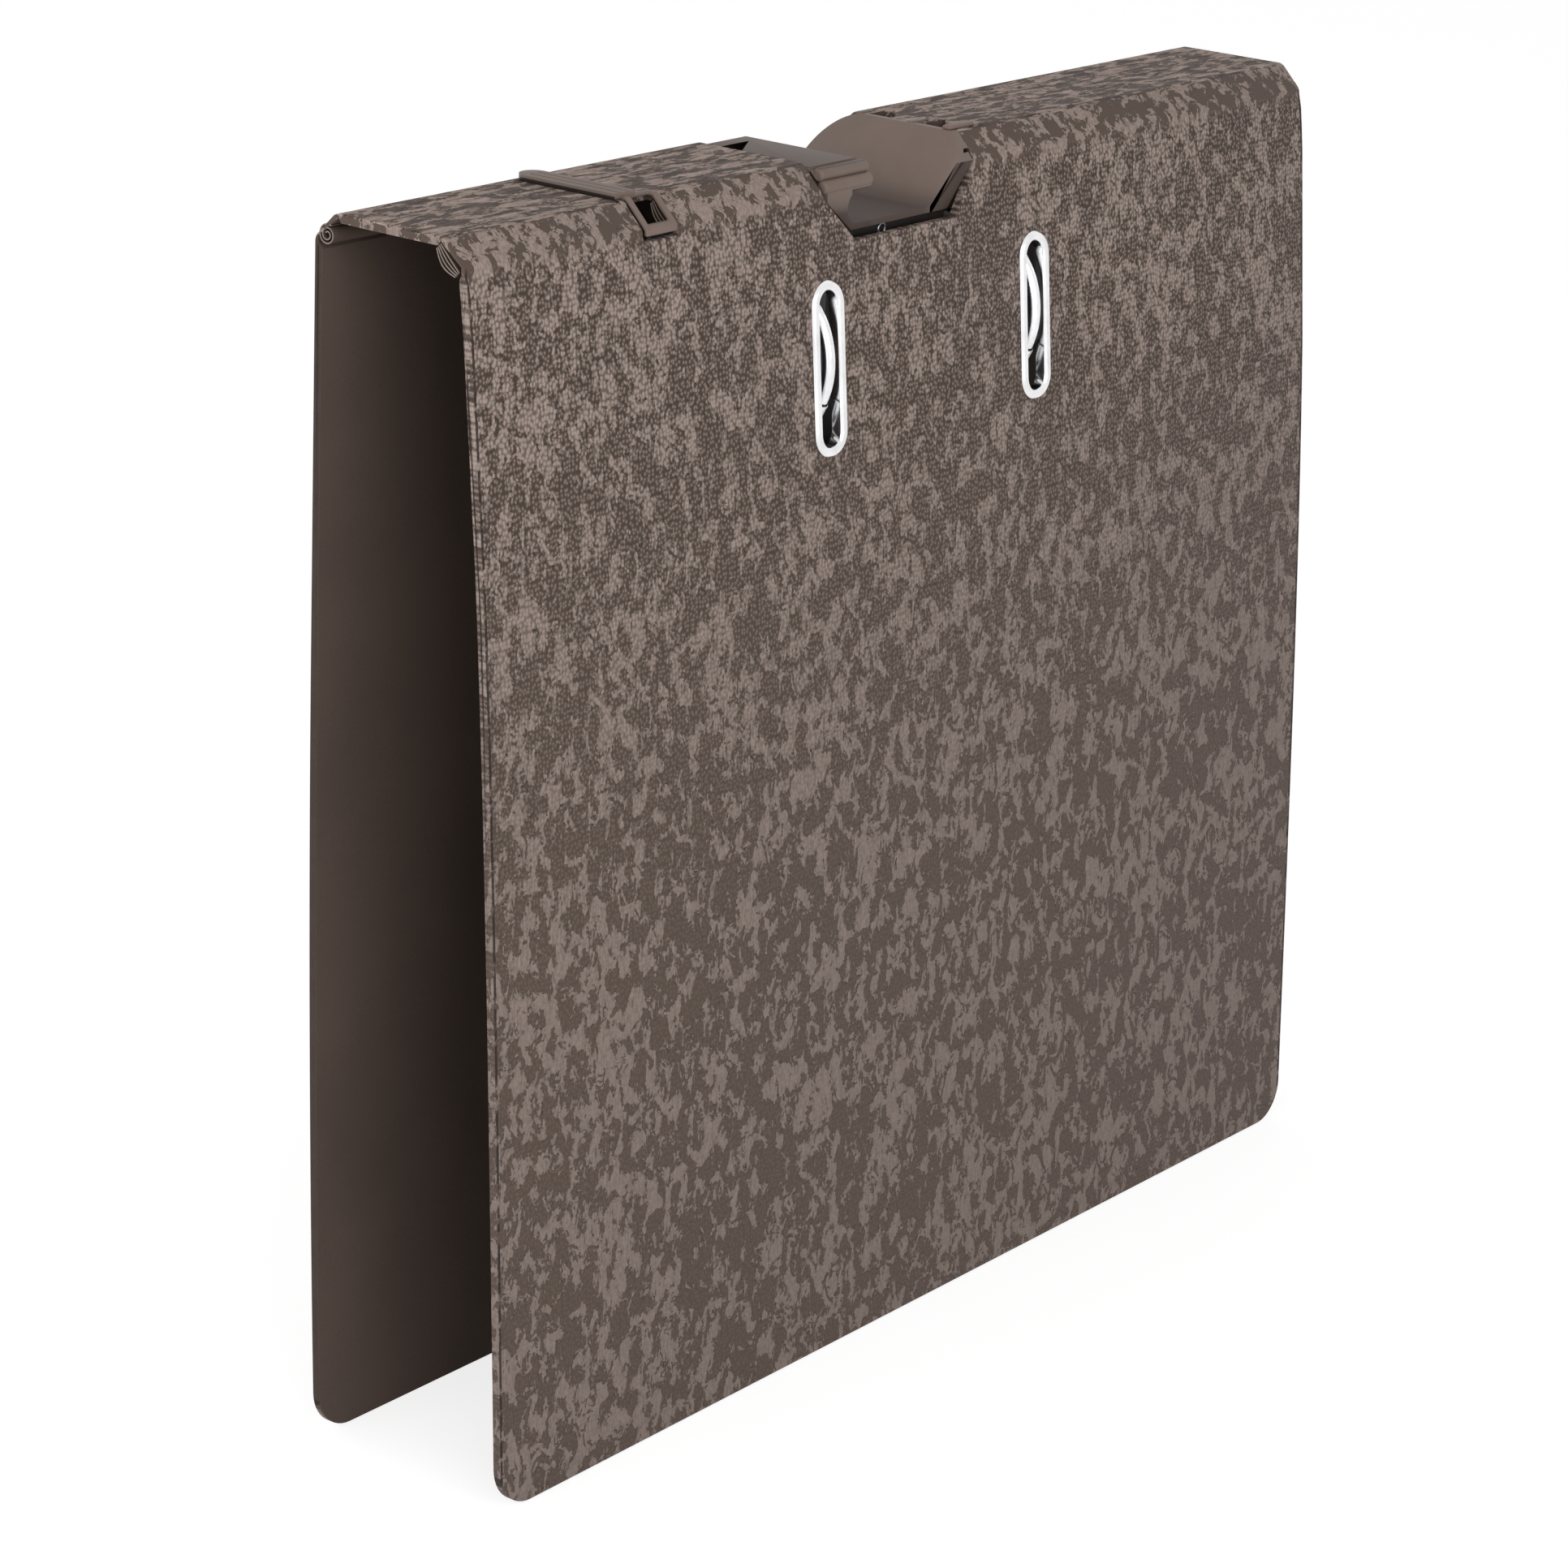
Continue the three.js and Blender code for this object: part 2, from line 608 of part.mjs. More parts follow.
// The wire from one arch's tip, round and down to the pivot line, over the crank, to the other.
class BailPath extends THREE.Curve {
  constructor() {
    super();
    const side = ARCH_SPACING / 2;
    const gap = TURN_GAP / ARCH_RADIUS;
    this.path = new THREE.CurvePath();
    this.addArc(-side, MEET_ANGLE + gap, Math.PI);
    const middle = new WirePath([
      { at: archPoint(-side, Math.PI) },
      { at: new THREE.Vector3(-side, PIVOT_Y, PIVOT_Z), radius: BEND_RADIUS },
      { at: new THREE.Vector3(-CRANK_HALF, PIVOT_Y, PIVOT_Z), radius: BEND_RADIUS },
      { at: new THREE.Vector3(-CRANK_HALF, PIVOT_Y, PIVOT_Z - CRANK_DROP), radius: BEND_RADIUS },
      { at: new THREE.Vector3(CRANK_HALF, PIVOT_Y, PIVOT_Z - CRANK_DROP), radius: BEND_RADIUS },
      { at: new THREE.Vector3(CRANK_HALF, PIVOT_Y, PIVOT_Z), radius: BEND_RADIUS },
      { at: new THREE.Vector3(side, PIVOT_Y, PIVOT_Z), radius: BEND_RADIUS },
      { at: archPoint(side, Math.PI) },
    ]);
    for (const piece of middle.path.curves) {
      this.path.add(piece);
    }
    this.addArc(side, Math.PI, MEET_ANGLE + gap);
  }

  addArc(x, from, to) {
    const points = [];
    const steps = 16;
    for (let i = 0; i <= steps; i += 1) {
      points.push(archPoint(x, from + ((to - from) * i) / steps));
    }
    for (let i = 0; i < steps; i += 1) {
      this.path.add(new THREE.LineCurve3(points[i], points[i + 1]));
    }
  }

  getPoint(t, target = new THREE.Vector3()) {
    return target.copy(this.path.getPoint(t));
  }
}

function archWire() {
  return wire(new BailPath(), WIRE_RADIUS, WIRE_STEPS, 6);
}

// A fixed post: a foot on the plate, a straight shank and a bent end that meets the arch.
function post(x) {
  const path = new THREE.CurvePath();
  const foot = new THREE.Vector3(x, PLATE_FRONT - SEAT, POST_Z);
  path.add(new THREE.LineCurve3(foot, archPoint(x, 0)));
  const steps = 8;
  for (let i = 0; i < steps; i += 1) {
    const from = archPoint(x, (MEET_ANGLE * i) / steps);
    path.add(new THREE.LineCurve3(from, archPoint(x, (MEET_ANGLE * (i + 1)) / steps)));
  }
  const shank = solid(wire(path, POST_RADIUS, POST_STEPS, 8));
  const flange = new THREE.CylinderGeometry(POST_RADIUS + 1.2, POST_RADIUS + 1.8, 1.2, 32);
  flange.translate(x, PLATE_FRONT - SEAT - 0.6, POST_Z);
  return shank.add(solid(flange));
}

// The base plate with the wire's lugs and the lever's cheeks folded up from it.
function basePlate() {
  const half = PLATE_LENGTH / 2;
  let made = solid(block(-half, half, PLATE_FRONT, PLATE_BACK, PLATE_FOOT_Z, PLATE_TOP_Z));
  for (const side of [-1, 1]) {
    const lug = block(
      side * LUG_X - LUG_HALF,
      side * LUG_X + LUG_HALF,
      PIVOT_Y - LUG_HALF,
      PLATE_FRONT + 0.2,
      PIVOT_Z - LUG_HALF,
      PIVOT_Z + LUG_HALF,
    );
    made = made.add(solid(lug));
    const near = side * CHEEK_INNER;
    const far = side * (CHEEK_INNER + SHEET);
    const cheek = block(
      Math.min(near, far),
      Math.max(near, far),
      LEVER_Y - CHEEK_REACH,
      PLATE_FRONT + 0.2,
      LEVER_Z - CHEEK_BELOW,
      LEVER_Z + CHEEK_ABOVE,
    );
    made = made.add(solid(cheek));
  }
  const lugEnd = LUG_X + LUG_HALF + 2;
  const cheekEnd = CHEEK_INNER + SHEET + 2;
  made = made.subtract(solid(barX(WIRE_RADIUS + TURN_GAP, -lugEnd, lugEnd, PIVOT_Y, PIVOT_Z)));
  made = made.subtract(solid(barX(PIN_RADIUS + TURN_GAP, -cheekEnd, cheekEnd, LEVER_Y, LEVER_Z)));
  for (const x of [-RIVET_X, RIVET_X]) {
    for (const z of [PLATE_FOOT_Z + 6, PLATE_TOP_Z - 6]) {
      made = made.subtract(solid(rivetHole(x, z)));
    }
  }
  return made;
}

const LEVER_FACE_Y = LEVER_Y - 5;

// The lever: a sheet strip with two folded flanges that carry the pivot and the roller.
function lever() {
  const top = LEVER_Z + 3.5;
  const foot = LEVER_Z - LEVER_LENGTH;
  let made = solid(block(-LEVER_HALF, LEVER_HALF, LEVER_FACE_Y, LEVER_FACE_Y + SHEET, foot, top));
  for (const side of [-1, 1]) {
    const near = side * (LEVER_HALF - SHEET);
    const far = side * LEVER_HALF;
    const flange = block(
      Math.min(near, far),
      Math.max(near, far),
      LEVER_FACE_Y,
      ROLLER_Y + 1.7,
      ROLLER_Z - 3,
      top,
    );
    made = made.add(solid(flange));
  }
  const reach = LEVER_HALF + 3;
  made = made.subtract(solid(barX(PIN_RADIUS + TURN_GAP, -reach, reach, LEVER_Y, LEVER_Z)));
  return made.subtract(solid(barX(ROLLER_PIN_RADIUS + TURN_GAP, -reach, reach, ROLLER_Y, ROLLER_Z)));
}

const GRIP_LENGTH = 20;

function leverGrip() {
  const foot = LEVER_Z - LEVER_LENGTH;
  const shape = new THREE.Shape();
  const half = LEVER_HALF + 2.5;
  const corner = 5;
  shape.moveTo(-half, foot + GRIP_LENGTH - 2);
  shape.lineTo(-half, foot - 2 + corner);
  shape.absarc(-half + corner, foot - 2 + corner, corner, Math.PI, 1.5 * Math.PI, false);
  shape.absarc(half - corner, foot - 2 + corner, corner, 1.5 * Math.PI, 2 * Math.PI, false);
  shape.lineTo(half, foot + GRIP_LENGTH - 2);
  shape.closePath();
  const body = solid(through(shape, LEVER_FACE_Y - 1.8, LEVER_FACE_Y + SHEET + 1.8));
  const room = block(
    -LEVER_HALF - 0.2,
    LEVER_HALF + 0.2,
    LEVER_FACE_Y - 0.2,
    LEVER_FACE_Y + SHEET + 0.2,
    foot - 0.2,
    foot + 2 * GRIP_LENGTH,
  );
  return body.subtract(solid(room));
}

function leverPin() {
  const reach = CHEEK_INNER + SHEET;
  let made = solid(barX(PIN_RADIUS, -reach - 1, reach + 1, LEVER_Y, LEVER_Z));
  for (const [from, to] of [[-reach - 1.2, -reach - 0.2], [reach + 0.2, reach + 1.2]]) {
    made = made.add(solid(barX(PIN_RADIUS + 0.9, from, to, LEVER_Y, LEVER_Z)));
  }
  return made;
}

function roller() {
  const reach = LEVER_HALF - SHEET - 0.4;
  const body = solid(barX(ROLLER_RADIUS, -reach, reach, ROLLER_Y, ROLLER_Z));
  const bore = barX(ROLLER_PIN_RADIUS + TURN_GAP, -LEVER_HALF, LEVER_HALF, ROLLER_Y, ROLLER_Z);
  return body.subtract(solid(bore));
}

function rollerPin() {
  return barX(ROLLER_PIN_RADIUS, -LEVER_HALF - 0.6, LEVER_HALF + 0.6, ROLLER_Y, ROLLER_Z);
}

// The leaf spring lies on the plate under the crank.
function leafSpring() {
  const back = PLATE_FRONT - SEAT;
  const top = PIVOT_Z - CRANK_DROP + 4;
  return along(
    outline([
      [back, PLATE_FOOT_Z + 4],
      [back, top - 11],
      [back - 0.5, top],
      [back - 1, top],
      [back - 0.5, top - 12],
      [back - 0.5, PLATE_FOOT_Z + 4],
    ].reverse()),
    -5,
    5,
  );
}

// A rivet with a domed head behind the back cover and a closed head on the plate.
function rivet(x, z) {
  const head = backFace(z) + SEAT;
  const inside = PLATE_FRONT - SEAT;
  const points = [new THREE.Vector2(0, inside - 1)];
  points.push(new THREE.Vector2(RIVET_HEAD - 1.3, inside - 1));
  points.push(new THREE.Vector2(RIVET_HEAD - 0.7, inside));
  points.push(new THREE.Vector2(RIVET_RADIUS, inside));
  points.push(new THREE.Vector2(RIVET_RADIUS, head));
  for (let step = 0; step <= 5; step += 1) {
    const angle = (Math.PI / 2) * (step / 5);
    const r = step === 5 ? 0 : RIVET_HEAD * Math.cos(angle);
    points.push(new THREE.Vector2(r, head + RIVET_DOME * Math.sin(angle)));
  }
  return new THREE.LatheGeometry(points, 32).translate(x, 0, z);
}

const file = new THREE.Group();
const middleY = (frontFace(0) - (HALF + SEAT + RIVET_DOME)) / 2;
file.position.set(0, middleY, 0);

function add(name, shape, material) {
  const geometry = shape.isBufferGeometry ? shape : geometryOf(shape);
  const mesh = new THREE.Mesh(geometry, material);
  mesh.name = name;
  file.add(mesh);
}

add("back_cover", backCover(), board);
add("spine_left", spineLeft(), board);
add("spine_right", spineRight(), board);
add("front_cover", frontCover(), board);
add("hanger", hanger(), plastic);
add("strap", strap(), plastic);
add("eyelet_left", eyelet(-ARCH_SPACING / 2), nickel);
add("eyelet_right", eyelet(ARCH_SPACING / 2), nickel);
add("base_plate", basePlate(), zinc);
add("post_left", post(-ARCH_SPACING / 2), nickel);
add("post_right", post(ARCH_SPACING / 2), nickel);
add("arch_wire", archWire(), nickel);
add("lever", lever(), zinc);
add("lever_grip", leverGrip(), black);
add("lever_pin", leverPin(), zinc);
add("roller", roller(), zinc);
add("roller_pin", rollerPin(), zinc);
add("leaf_spring", leafSpring(), zinc);
add("rivet_top_left", rivet(-RIVET_X, PLATE_TOP_Z - 6), nickel);
add("rivet_top_right", rivet(RIVET_X, PLATE_TOP_Z - 6), nickel);
add("rivet_foot_left", rivet(-RIVET_X, PLATE_FOOT_Z + 6), nickel);
add("rivet_foot_right", rivet(RIVET_X, PLATE_FOOT_Z + 6), nickel);

export default file;
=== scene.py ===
"""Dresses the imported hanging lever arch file: boards, hanger, strap, eyelets and mechanism."""

import logging
import math
from dataclasses import dataclass
from enum import Enum
from typing import Any, Callable, Optional, Sequence, Union

import bmesh
import bpy
from mathutils import Matrix, Vector


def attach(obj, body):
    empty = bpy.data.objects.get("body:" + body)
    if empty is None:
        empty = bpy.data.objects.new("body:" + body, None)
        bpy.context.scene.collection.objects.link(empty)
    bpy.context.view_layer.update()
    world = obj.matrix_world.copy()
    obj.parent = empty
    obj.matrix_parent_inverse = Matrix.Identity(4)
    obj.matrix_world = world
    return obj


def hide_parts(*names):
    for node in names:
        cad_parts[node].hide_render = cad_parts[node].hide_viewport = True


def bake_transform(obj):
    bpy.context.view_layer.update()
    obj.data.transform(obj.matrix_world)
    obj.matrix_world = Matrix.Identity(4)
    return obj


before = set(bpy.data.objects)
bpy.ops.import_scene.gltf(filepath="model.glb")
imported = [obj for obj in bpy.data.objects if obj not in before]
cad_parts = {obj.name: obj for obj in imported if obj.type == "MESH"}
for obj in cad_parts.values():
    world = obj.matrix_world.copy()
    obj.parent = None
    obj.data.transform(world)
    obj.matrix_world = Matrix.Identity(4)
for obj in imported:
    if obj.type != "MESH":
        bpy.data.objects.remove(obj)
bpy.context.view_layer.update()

log = logging.getLogger("file")
MM = 0.001
Point = tuple[float, float, float]
Pair = tuple[float, float]
Colour = tuple[float, float, float, float]
Thing = bpy.types.Object

# The row frame's Y is the spine's middle plus this, because the front cover's foot stands out.
SPINE_Y = 8.825

LENGTH = 318.0
HEIGHT = 285.0
HALF = 21.2
BOARD = 2.0
BEVEL = 5.85
FOLD_Z = HEIGHT - BEVEL
FLAT_HALF = HALF - BEVEL
OPENING = (-39.8, 19.6)
SLOT_XS = (-40.0, 40.0)
SLOT_Z = 239.3
FLAT_RUN = (214.0, 264.0)
CLIP_YS = (9.5, -5.5)
# How far above the spine the cutting tools reach, and the length that spans every piece across.
CLEAR = 5.0
ACROSS = 0.1
# The room for the strap's loop: left, right, back and foot.
LOOP_ROOM = (-102.0, -90.5, -12.3, 276.7)


class Body(Enum):
    """The bodies that pieces ride on."""

    BACK = "back"
    SPINE = "spine"
    FRONT = "front"
    ARCH = "arch"
    LEVER = "lever"
    ROLLER = "roller"


def at(x: float, y: float, z: float) -> Vector:
    """A point given in millimetres from the spine's middle, in the row frame in metres."""
    return Vector((x * MM, (y + SPINE_Y) * MM, z * MM))


class Wire:
    """A shader socket that can be added, multiplied and compared like a number."""

    def __init__(self, nodes: "Shader", socket: Any) -> None:
        """Wraps a socket of a shader's node tree."""
        self.nodes = nodes
        self.socket = socket

    def _math(self, operation: str, *values: Any) -> "Wire":
        """Adds one Math node."""
        return self.nodes.node("ShaderNodeMath", {"operation": operation}, dict(enumerate(values)))

    def __add__(self, other: Any) -> "Wire":
        """self + other."""
        return self._math("ADD", self, other)

    __radd__ = __add__

    def __sub__(self, other: Any) -> "Wire":
        """self - other."""
        return self._math("SUBTRACT", self, other)

    def __rsub__(self, other: Any) -> "Wire":
        """other - self."""
        return self._math("SUBTRACT", other, self)

    def __mul__(self, other: Any) -> "Wire":
        """self * other."""
        return self._math("MULTIPLY", self, other)

    __rmul__ = __mul__

    def __gt__(self, other: Any) -> "Wire":
        """1 where self is greater than other."""
        return self._math("GREATER_THAN", self, other)

    def __lt__(self, other: Any) -> "Wire":
        """1 where self is less than other."""
        return self._math("LESS_THAN", self, other)

    def __abs__(self) -> "Wire":
        """The size of self."""
        return self._math("ABSOLUTE", self)

    def clamp(self) -> "Wire":
        """self held between 0 and 1."""
        return self.nodes.node("ShaderNodeClamp", {}, {"Value": self})

    def ramp(self, low: float, high: float) -> "Wire":
        """A smooth step.

        Args:
            low: Where it is 0.
            high: Where it is 1.

        Returns:
            A field from 0 to 1.
        """
        return self.nodes.node(
            "ShaderNodeMapRange",
            {"interpolation_type": "SMOOTHSTEP"},
            {"Value": self, "From Min": low, "From Max": high},
        )


class Shader:
    """A node tree, of a material or the world, built one node at a time."""

    def __init__(self, owner: Union[bpy.types.Material, bpy.types.World],
                 follows: bool = False) -> None:
        """Opens a material's or a world's node tree.

        Args:
            owner: What the nodes belong to.
            follows: Whether patterns lie on the places that remember() stored.
        """
        owner.use_nodes = True
        self.follows = follows
        self.owner = owner
        self.tree = owner.node_tree
        kinds = ("BSDF_PRINCIPLED", "BACKGROUND")
        self.surface = next(n for n in self.tree.nodes if n.type in kinds)

    @classmethod
    def named(cls, name: str, follows: bool = False) -> "Shader":
        """A new material's shader, on stored places where a board bends."""
        return cls(bpy.data.materials.new(name), follows)

    def spot(self) -> Wire:
        """The place on a piece.

        Returns:
            Where a point of a board was at rest, or Object coordinates.
        """
        if self.follows:
            return self.node("ShaderNodeAttribute", {"attribute_name": "rest"}, {}, "Vector")
        return self.node("ShaderNodeTexCoord", {}, {}, "Object")

    def node(
        self,
        kind: str,
        settings: dict[str, Any],
        inputs: dict[Union[str, int], Any],
        output: Union[str, int] = 0,
    ) -> Wire:
        """Adds a node, with its settings first and then its sockets.

        Args:
            kind: The node's Blender type.
            settings: Properties of the node, set before its sockets.
            inputs: A value or a wire for each socket, by name or place.
            output: The socket to hand back.

        Returns:
            The wanted output as a wire.
        """
        made = self.tree.nodes.new(kind)
        for key, value in settings.items():
            setattr(made, key, value)
        for key, value in inputs.items():
            if isinstance(value, Wire):
                self.tree.links.new(value.socket, made.inputs[key])
            else:
                made.inputs[key].default_value = value
        return Wire(self, made.outputs[output])

    def place(self, scale: Point = (1, 1, 1), turn: float = 0.0) -> Wire:
        """The place on a piece, stretched by a scale and then turned about X.

        Args:
            scale: The stretch along each axis.
            turn: The turn about X in degrees.

        Returns:
            The place as a vector.
        """
        angles = (math.radians(turn), 0.0, 0.0)
        return self.node("ShaderNodeMapping", {},
                         {"Vector": self.spot(), "Scale": scale, "Rotation": angles})

    def noise(self, where: Wire, scale: float, detail: float = 3, rough: float = 0.5,
              warp: float = 0.0) -> Wire:
        """Fractal noise.

        Args:
            where: The place that it varies over.
            scale: Repeats per metre.
            detail: How many finer layers are added.
            rough: How strong the finer layers are.
            warp: How far the noise is drawn out by itself.

        Returns:
            A field from 0 to 1, around 0.5.
        """
        return self.node(
            "ShaderNodeTexNoise",
            {},
            {"Vector": where, "Scale": scale, "Detail": detail, "Roughness": rough,
             "Distortion": warp},
            "Fac",
        )

    def cells(self, where: Wire, scale: float) -> Wire:
        """Cells scattered over X and Y.

        Args:
            where: The place that they lie on.
            scale: Cells per metre.

        Returns:
            Distance to the nearest cell's centre, in cells.
        """
        return self.node(
            "ShaderNodeTexVoronoi", {"voronoi_dimensions": "2D"},
            {"Vector": where, "Scale": scale, "Randomness": 0.75}, "Distance",
        )

    def mix(self, factor: Any, first: Any, second: Any) -> Wire:
        """A colour between two.

        Args:
            factor: 0 for the first colour and 1 for the second.
            first: A colour or a wire.
            second: A colour or a wire.

        Returns:
            The mixed colour.
        """
        colours = {0: factor, 6: first, 7: second}
        return self.node("ShaderNodeMix", {"data_type": "RGBA"}, colours, 2)

    def part(self, vector: Wire, axis: int) -> Wire:
        """One part of a vector: 0, 1 or 2 for X, Y or Z."""
        return self.node("ShaderNodeSeparateXYZ", {}, {0: vector}, axis)

    def white_rays(self) -> Wire:
        """Tells the rays that show the background from those that light the object.

        Returns:
            1 for camera, glossy and transmission rays and 0 for the others.
        """
        rays = [self.node("ShaderNodeLightPath", {}, {}, f"Is {kind} Ray")
                for kind in ("Camera", "Glossy", "Transmission")]
        return (rays[0] + rays[1] + rays[2]).clamp()

    def set(self, **values: Any) -> None:
        """Sets or links sockets of the surface shader.

        Args:
            values: A value or a wire by socket name, with an underscore for each space.
        """
        for key, value in values.items():
            spot = self.surface.inputs[key.replace("_", " ")]
            if isinstance(value, Wire):
                self.tree.links.new(value.socket, spot)
            else:
                spot.default_value = value

    def bump(self, height: Wire, strength: float, distance: float) -> None:
        """Roughens the surface by a height field.

        Args:
            height: The field.
            strength: How much of the effect is used.
            distance: The depth of the relief in metres.
        """
        self.set(Normal=self.node(
            "ShaderNodeBump", {},
            {"Strength": strength, "Distance": distance, "Height": height}, "Normal",
        ))


def rgb(red: int, green: int, blue: int) -> Colour:
    """A colour for Blender, which is linear.

    Args:
        red: The sRGB value from 0 to 255.
        green: The same for green.
        blue: The same for blue.

    Returns:
        The linear colour with an alpha of 1.
    """
    linear = []
    for part in (red, green, blue):
        c = part / 255
        linear.append(c / 12.92 if c <= 0.04045 else ((c + 0.055) / 1.055) ** 2.4)
    return (linear[0], linear[1], linear[2], 1.0)


def dimmed(colour: Colour, share: float) -> Colour:
    """A colour at a share of its brightness."""
    return (colour[0] * share, colour[1] * share, colour[2] * share, 1.0)


@dataclass(frozen=True)
class MarblePaper:
    """Embossed cloud marble paper, as on the outside of the boards."""

    dark: Colour = rgb(84, 71, 64)
    light: Colour = rgb(118, 105, 99)
    dark_crown: Colour = rgb(82, 66, 57)
    light_crown: Colour = rgb(121, 104, 95)
    # The glint is a painted highlight; the pit colour is painted shade, which also paints the
    # print's own cracks.
    glint: Colour = rgb(172, 155, 145)
    pit: Colour = rgb(40, 32, 28)
    # The seam colour also paints the shade in the crease beside the strap.
    seam: Colour = rgb(34, 27, 24)
    # The back board's short edges: the lining's brown, painted darker as shade.
    back_edge_lining_shade: Colour = rgb(62, 52, 47)
    # Where the print changes from dark to light, and how wide its cracked border is.
    change: Pair = (0.5, 0.522)
    border_at: float = 0.505
    border: float = 0.03
    # Repeats per metre of each pattern.
    clouds: float = 258.0
    streaks: float = 330.0
    rags: float = 1000.0
    drifts: float = 38.0
    cells: float = 960.0
    grooves: float = 620.0
    # The emboss, with its painted shade and highlight, grows between these heights in metres, and
    # ends short of the fold.
    emboss_rise: Pair = (0.1, 0.262)
    emboss_end: Pair = (0.2755, 0.2795)

    def material(self) -> bpy.types.Material:
        """The paper: printed clouds, a pebbled emboss with painted shade and highlights, painted
        highlights on the light print that grow towards the top, and the rubbed, layered short
        edges.

        Returns:
            The finished material.
        """
        s = Shader.named("marble_paper", follows=True)
        x, y, z = (s.part(s.spot(), axis) for axis in range(3))
        crown = z.ramp((HEIGHT - 0.5) * MM, (HEIGHT - 0.15) * MM)
        relief = self.relief(s, crown)
        mask = relief.ramp(*self.change)
        crumbs = s.noise(s.place(), 1400, 2, 0.7)
        border = 1 - abs(relief - self.border_at).ramp(0.0, self.border)
        cracks = border * crumbs.ramp(0.48, 0.6)
        wrinkles = s.noise(s.place((1.8, 1.8, 0.45)), 900, 2, 0.6).ramp(0.35, 0.7)
        pits, tops = self.pebbles(s, crown, z)
        # Painted highlight: the light print turns towards the glint colour on its wrinkles, more
        # so higher up and on the crown.
        painted_glint = wrinkles * (z.ramp(0.05, 0.25) * 0.22 + 0.18)
        painted_glint = painted_glint + z.ramp(0.16, 0.26) * 0.16 + crown * 0.1
        light = s.mix(painted_glint, s.mix(crown, self.light, self.light_crown), self.glint)
        colour = s.mix(mask, s.mix(crown, self.dark, self.dark_crown), light)
        # Painted highlight on the emboss tops.
        colour = s.mix(tops, colour, self.glint)
        # Painted shade in the emboss pits and on the crown's dark print, together with the print's
        # own cracks.
        deep = pits + cracks * 0.75 + (1 - mask) * crown * 0.22
        colour = s.mix(deep.clamp(), colour, self.pit)
        colour = self.edges(s, colour, x, y, z)
        s.set(Base_Color=colour, Roughness=0.62 + mask * 0.1, Specular_IOR_Level=0.16)
        s.bump(tops * 0.6 + mask * 0.35 - pits * 0.9 - cracks * 0.8, 0.5, 0.0002)
        return s.owner

    def relief(self, s: Shader, crown: Wire) -> Wire:
        """The print's height: ragged clouds on the covers, long streaks on the spine.

        Args:
            s: The shader that the nodes go into.
            crown: 1 on the flat of the spine and 0 elsewhere.

        Returns:
            A field that is above 0.5 on the light print.
        """
        ragged = (s.noise(s.place(), self.rags, 2, 0.6) - 0.5) * 0.13
        broad = (s.noise(s.place(), self.drifts, 1, 0.5) - 0.5) * 0.16
        cloud = s.noise(s.place((1.0, 1.0, 0.66)), self.clouds, 5, 0.68, 0.5) + broad
        streak = s.noise(s.place((0.34, 0.85, 1.0)), self.streaks, 4, 0.62, 0.7) + 0.006
        return cloud * (1 - crown) + streak * crown + ragged

    def pebbles(self, s: Shader, crown: Wire, z: Wire) -> tuple[Wire, Wire]:
        """The emboss, strong under the fold and faint towards the foot, with painted shade in its
        pits and painted highlight on its tops; on the crown its grooves and ridges are painted the
        same way.

        Args:
            s: The shader that the nodes go into.
            crown: 1 on the flat of the spine and 0 elsewhere.
            z: Height in metres.

        Returns:
            The dark pits and the light tops, each from 0 to 1: painted shade and painted
            highlight, also used as the relief's height.
        """
        depth = z.ramp(*self.emboss_rise) * 0.84 + 0.16
        depth = depth * (1 - z.ramp(*self.emboss_end))
        cell = s.cells(s.place((1.0, 1.0, 0.9), -90.0), self.cells)
        pits = cell.ramp(0.36, 0.62) * depth * 0.56
        tops = (1 - cell.ramp(0.1, 0.38)) * depth * 0.42
        grooves = s.noise(s.place((0.24, 1.0, 1.0)), self.grooves, 3, 0.6)
        pits = pits + grooves.ramp(0.55, 0.6) * crown * 0.7
        tops = tops + (1 - grooves.ramp(0.38, 0.43)) * crown * 0.75
        return pits.clamp(), tops.clamp()

    def edges(self, s: Shader, colour: Wire, x: Wire, y: Wire, z: Wire) -> Wire:
        """The short edges: a dark broken line at the corner, a gap between the layers and painted
        shade on the back board's ends; also the painted shade in the crease beside the strap.

        Args:
            s: The shader that the nodes go into.
            colour: The paper's colour so far.
            x: Place along the spine in metres.
            y: Place across the spine in metres.
            z: Height in metres.

        Returns:
            The colour with the edges in it.
        """
        edge = LENGTH / 2 * MM - abs(x)
        depth = s.node("ShaderNodeAttribute", {"attribute_name": "depth"}, {}, "Fac")
        broken = s.noise(s.place(), 330, 2, 0.5).ramp(0.36, 0.46)
        cover = z < FOLD_Z * MM
        corner = (edge > 0.15 * MM) * (edge < 0.9 * MM) * cover * broken
        gap = (edge < 0.2 * MM) * cover * (abs(depth - 1.0) < 0.24) * z.ramp(0.1, 0.2)
        # The back board's short edges in the lining's brown, painted darker still as shade.
        behind = (edge < 0.5 * MM) * cover * (y > SPINE_Y * MM)
        # Painted shade in the crease beside the strap, over the groove cut there.
        beside = (abs(x + 103.8 * MM) < 0.55 * MM) * (z > 283.5 * MM)
        beside = beside * (abs(y - (SPINE_Y - 1.1) * MM) < 14.5 * MM)
        colour = s.mix(behind, colour, self.back_edge_lining_shade)
        return s.mix((corner * 0.85 + gap * 0.9 + beside * 0.9).clamp(), colour, self.seam)


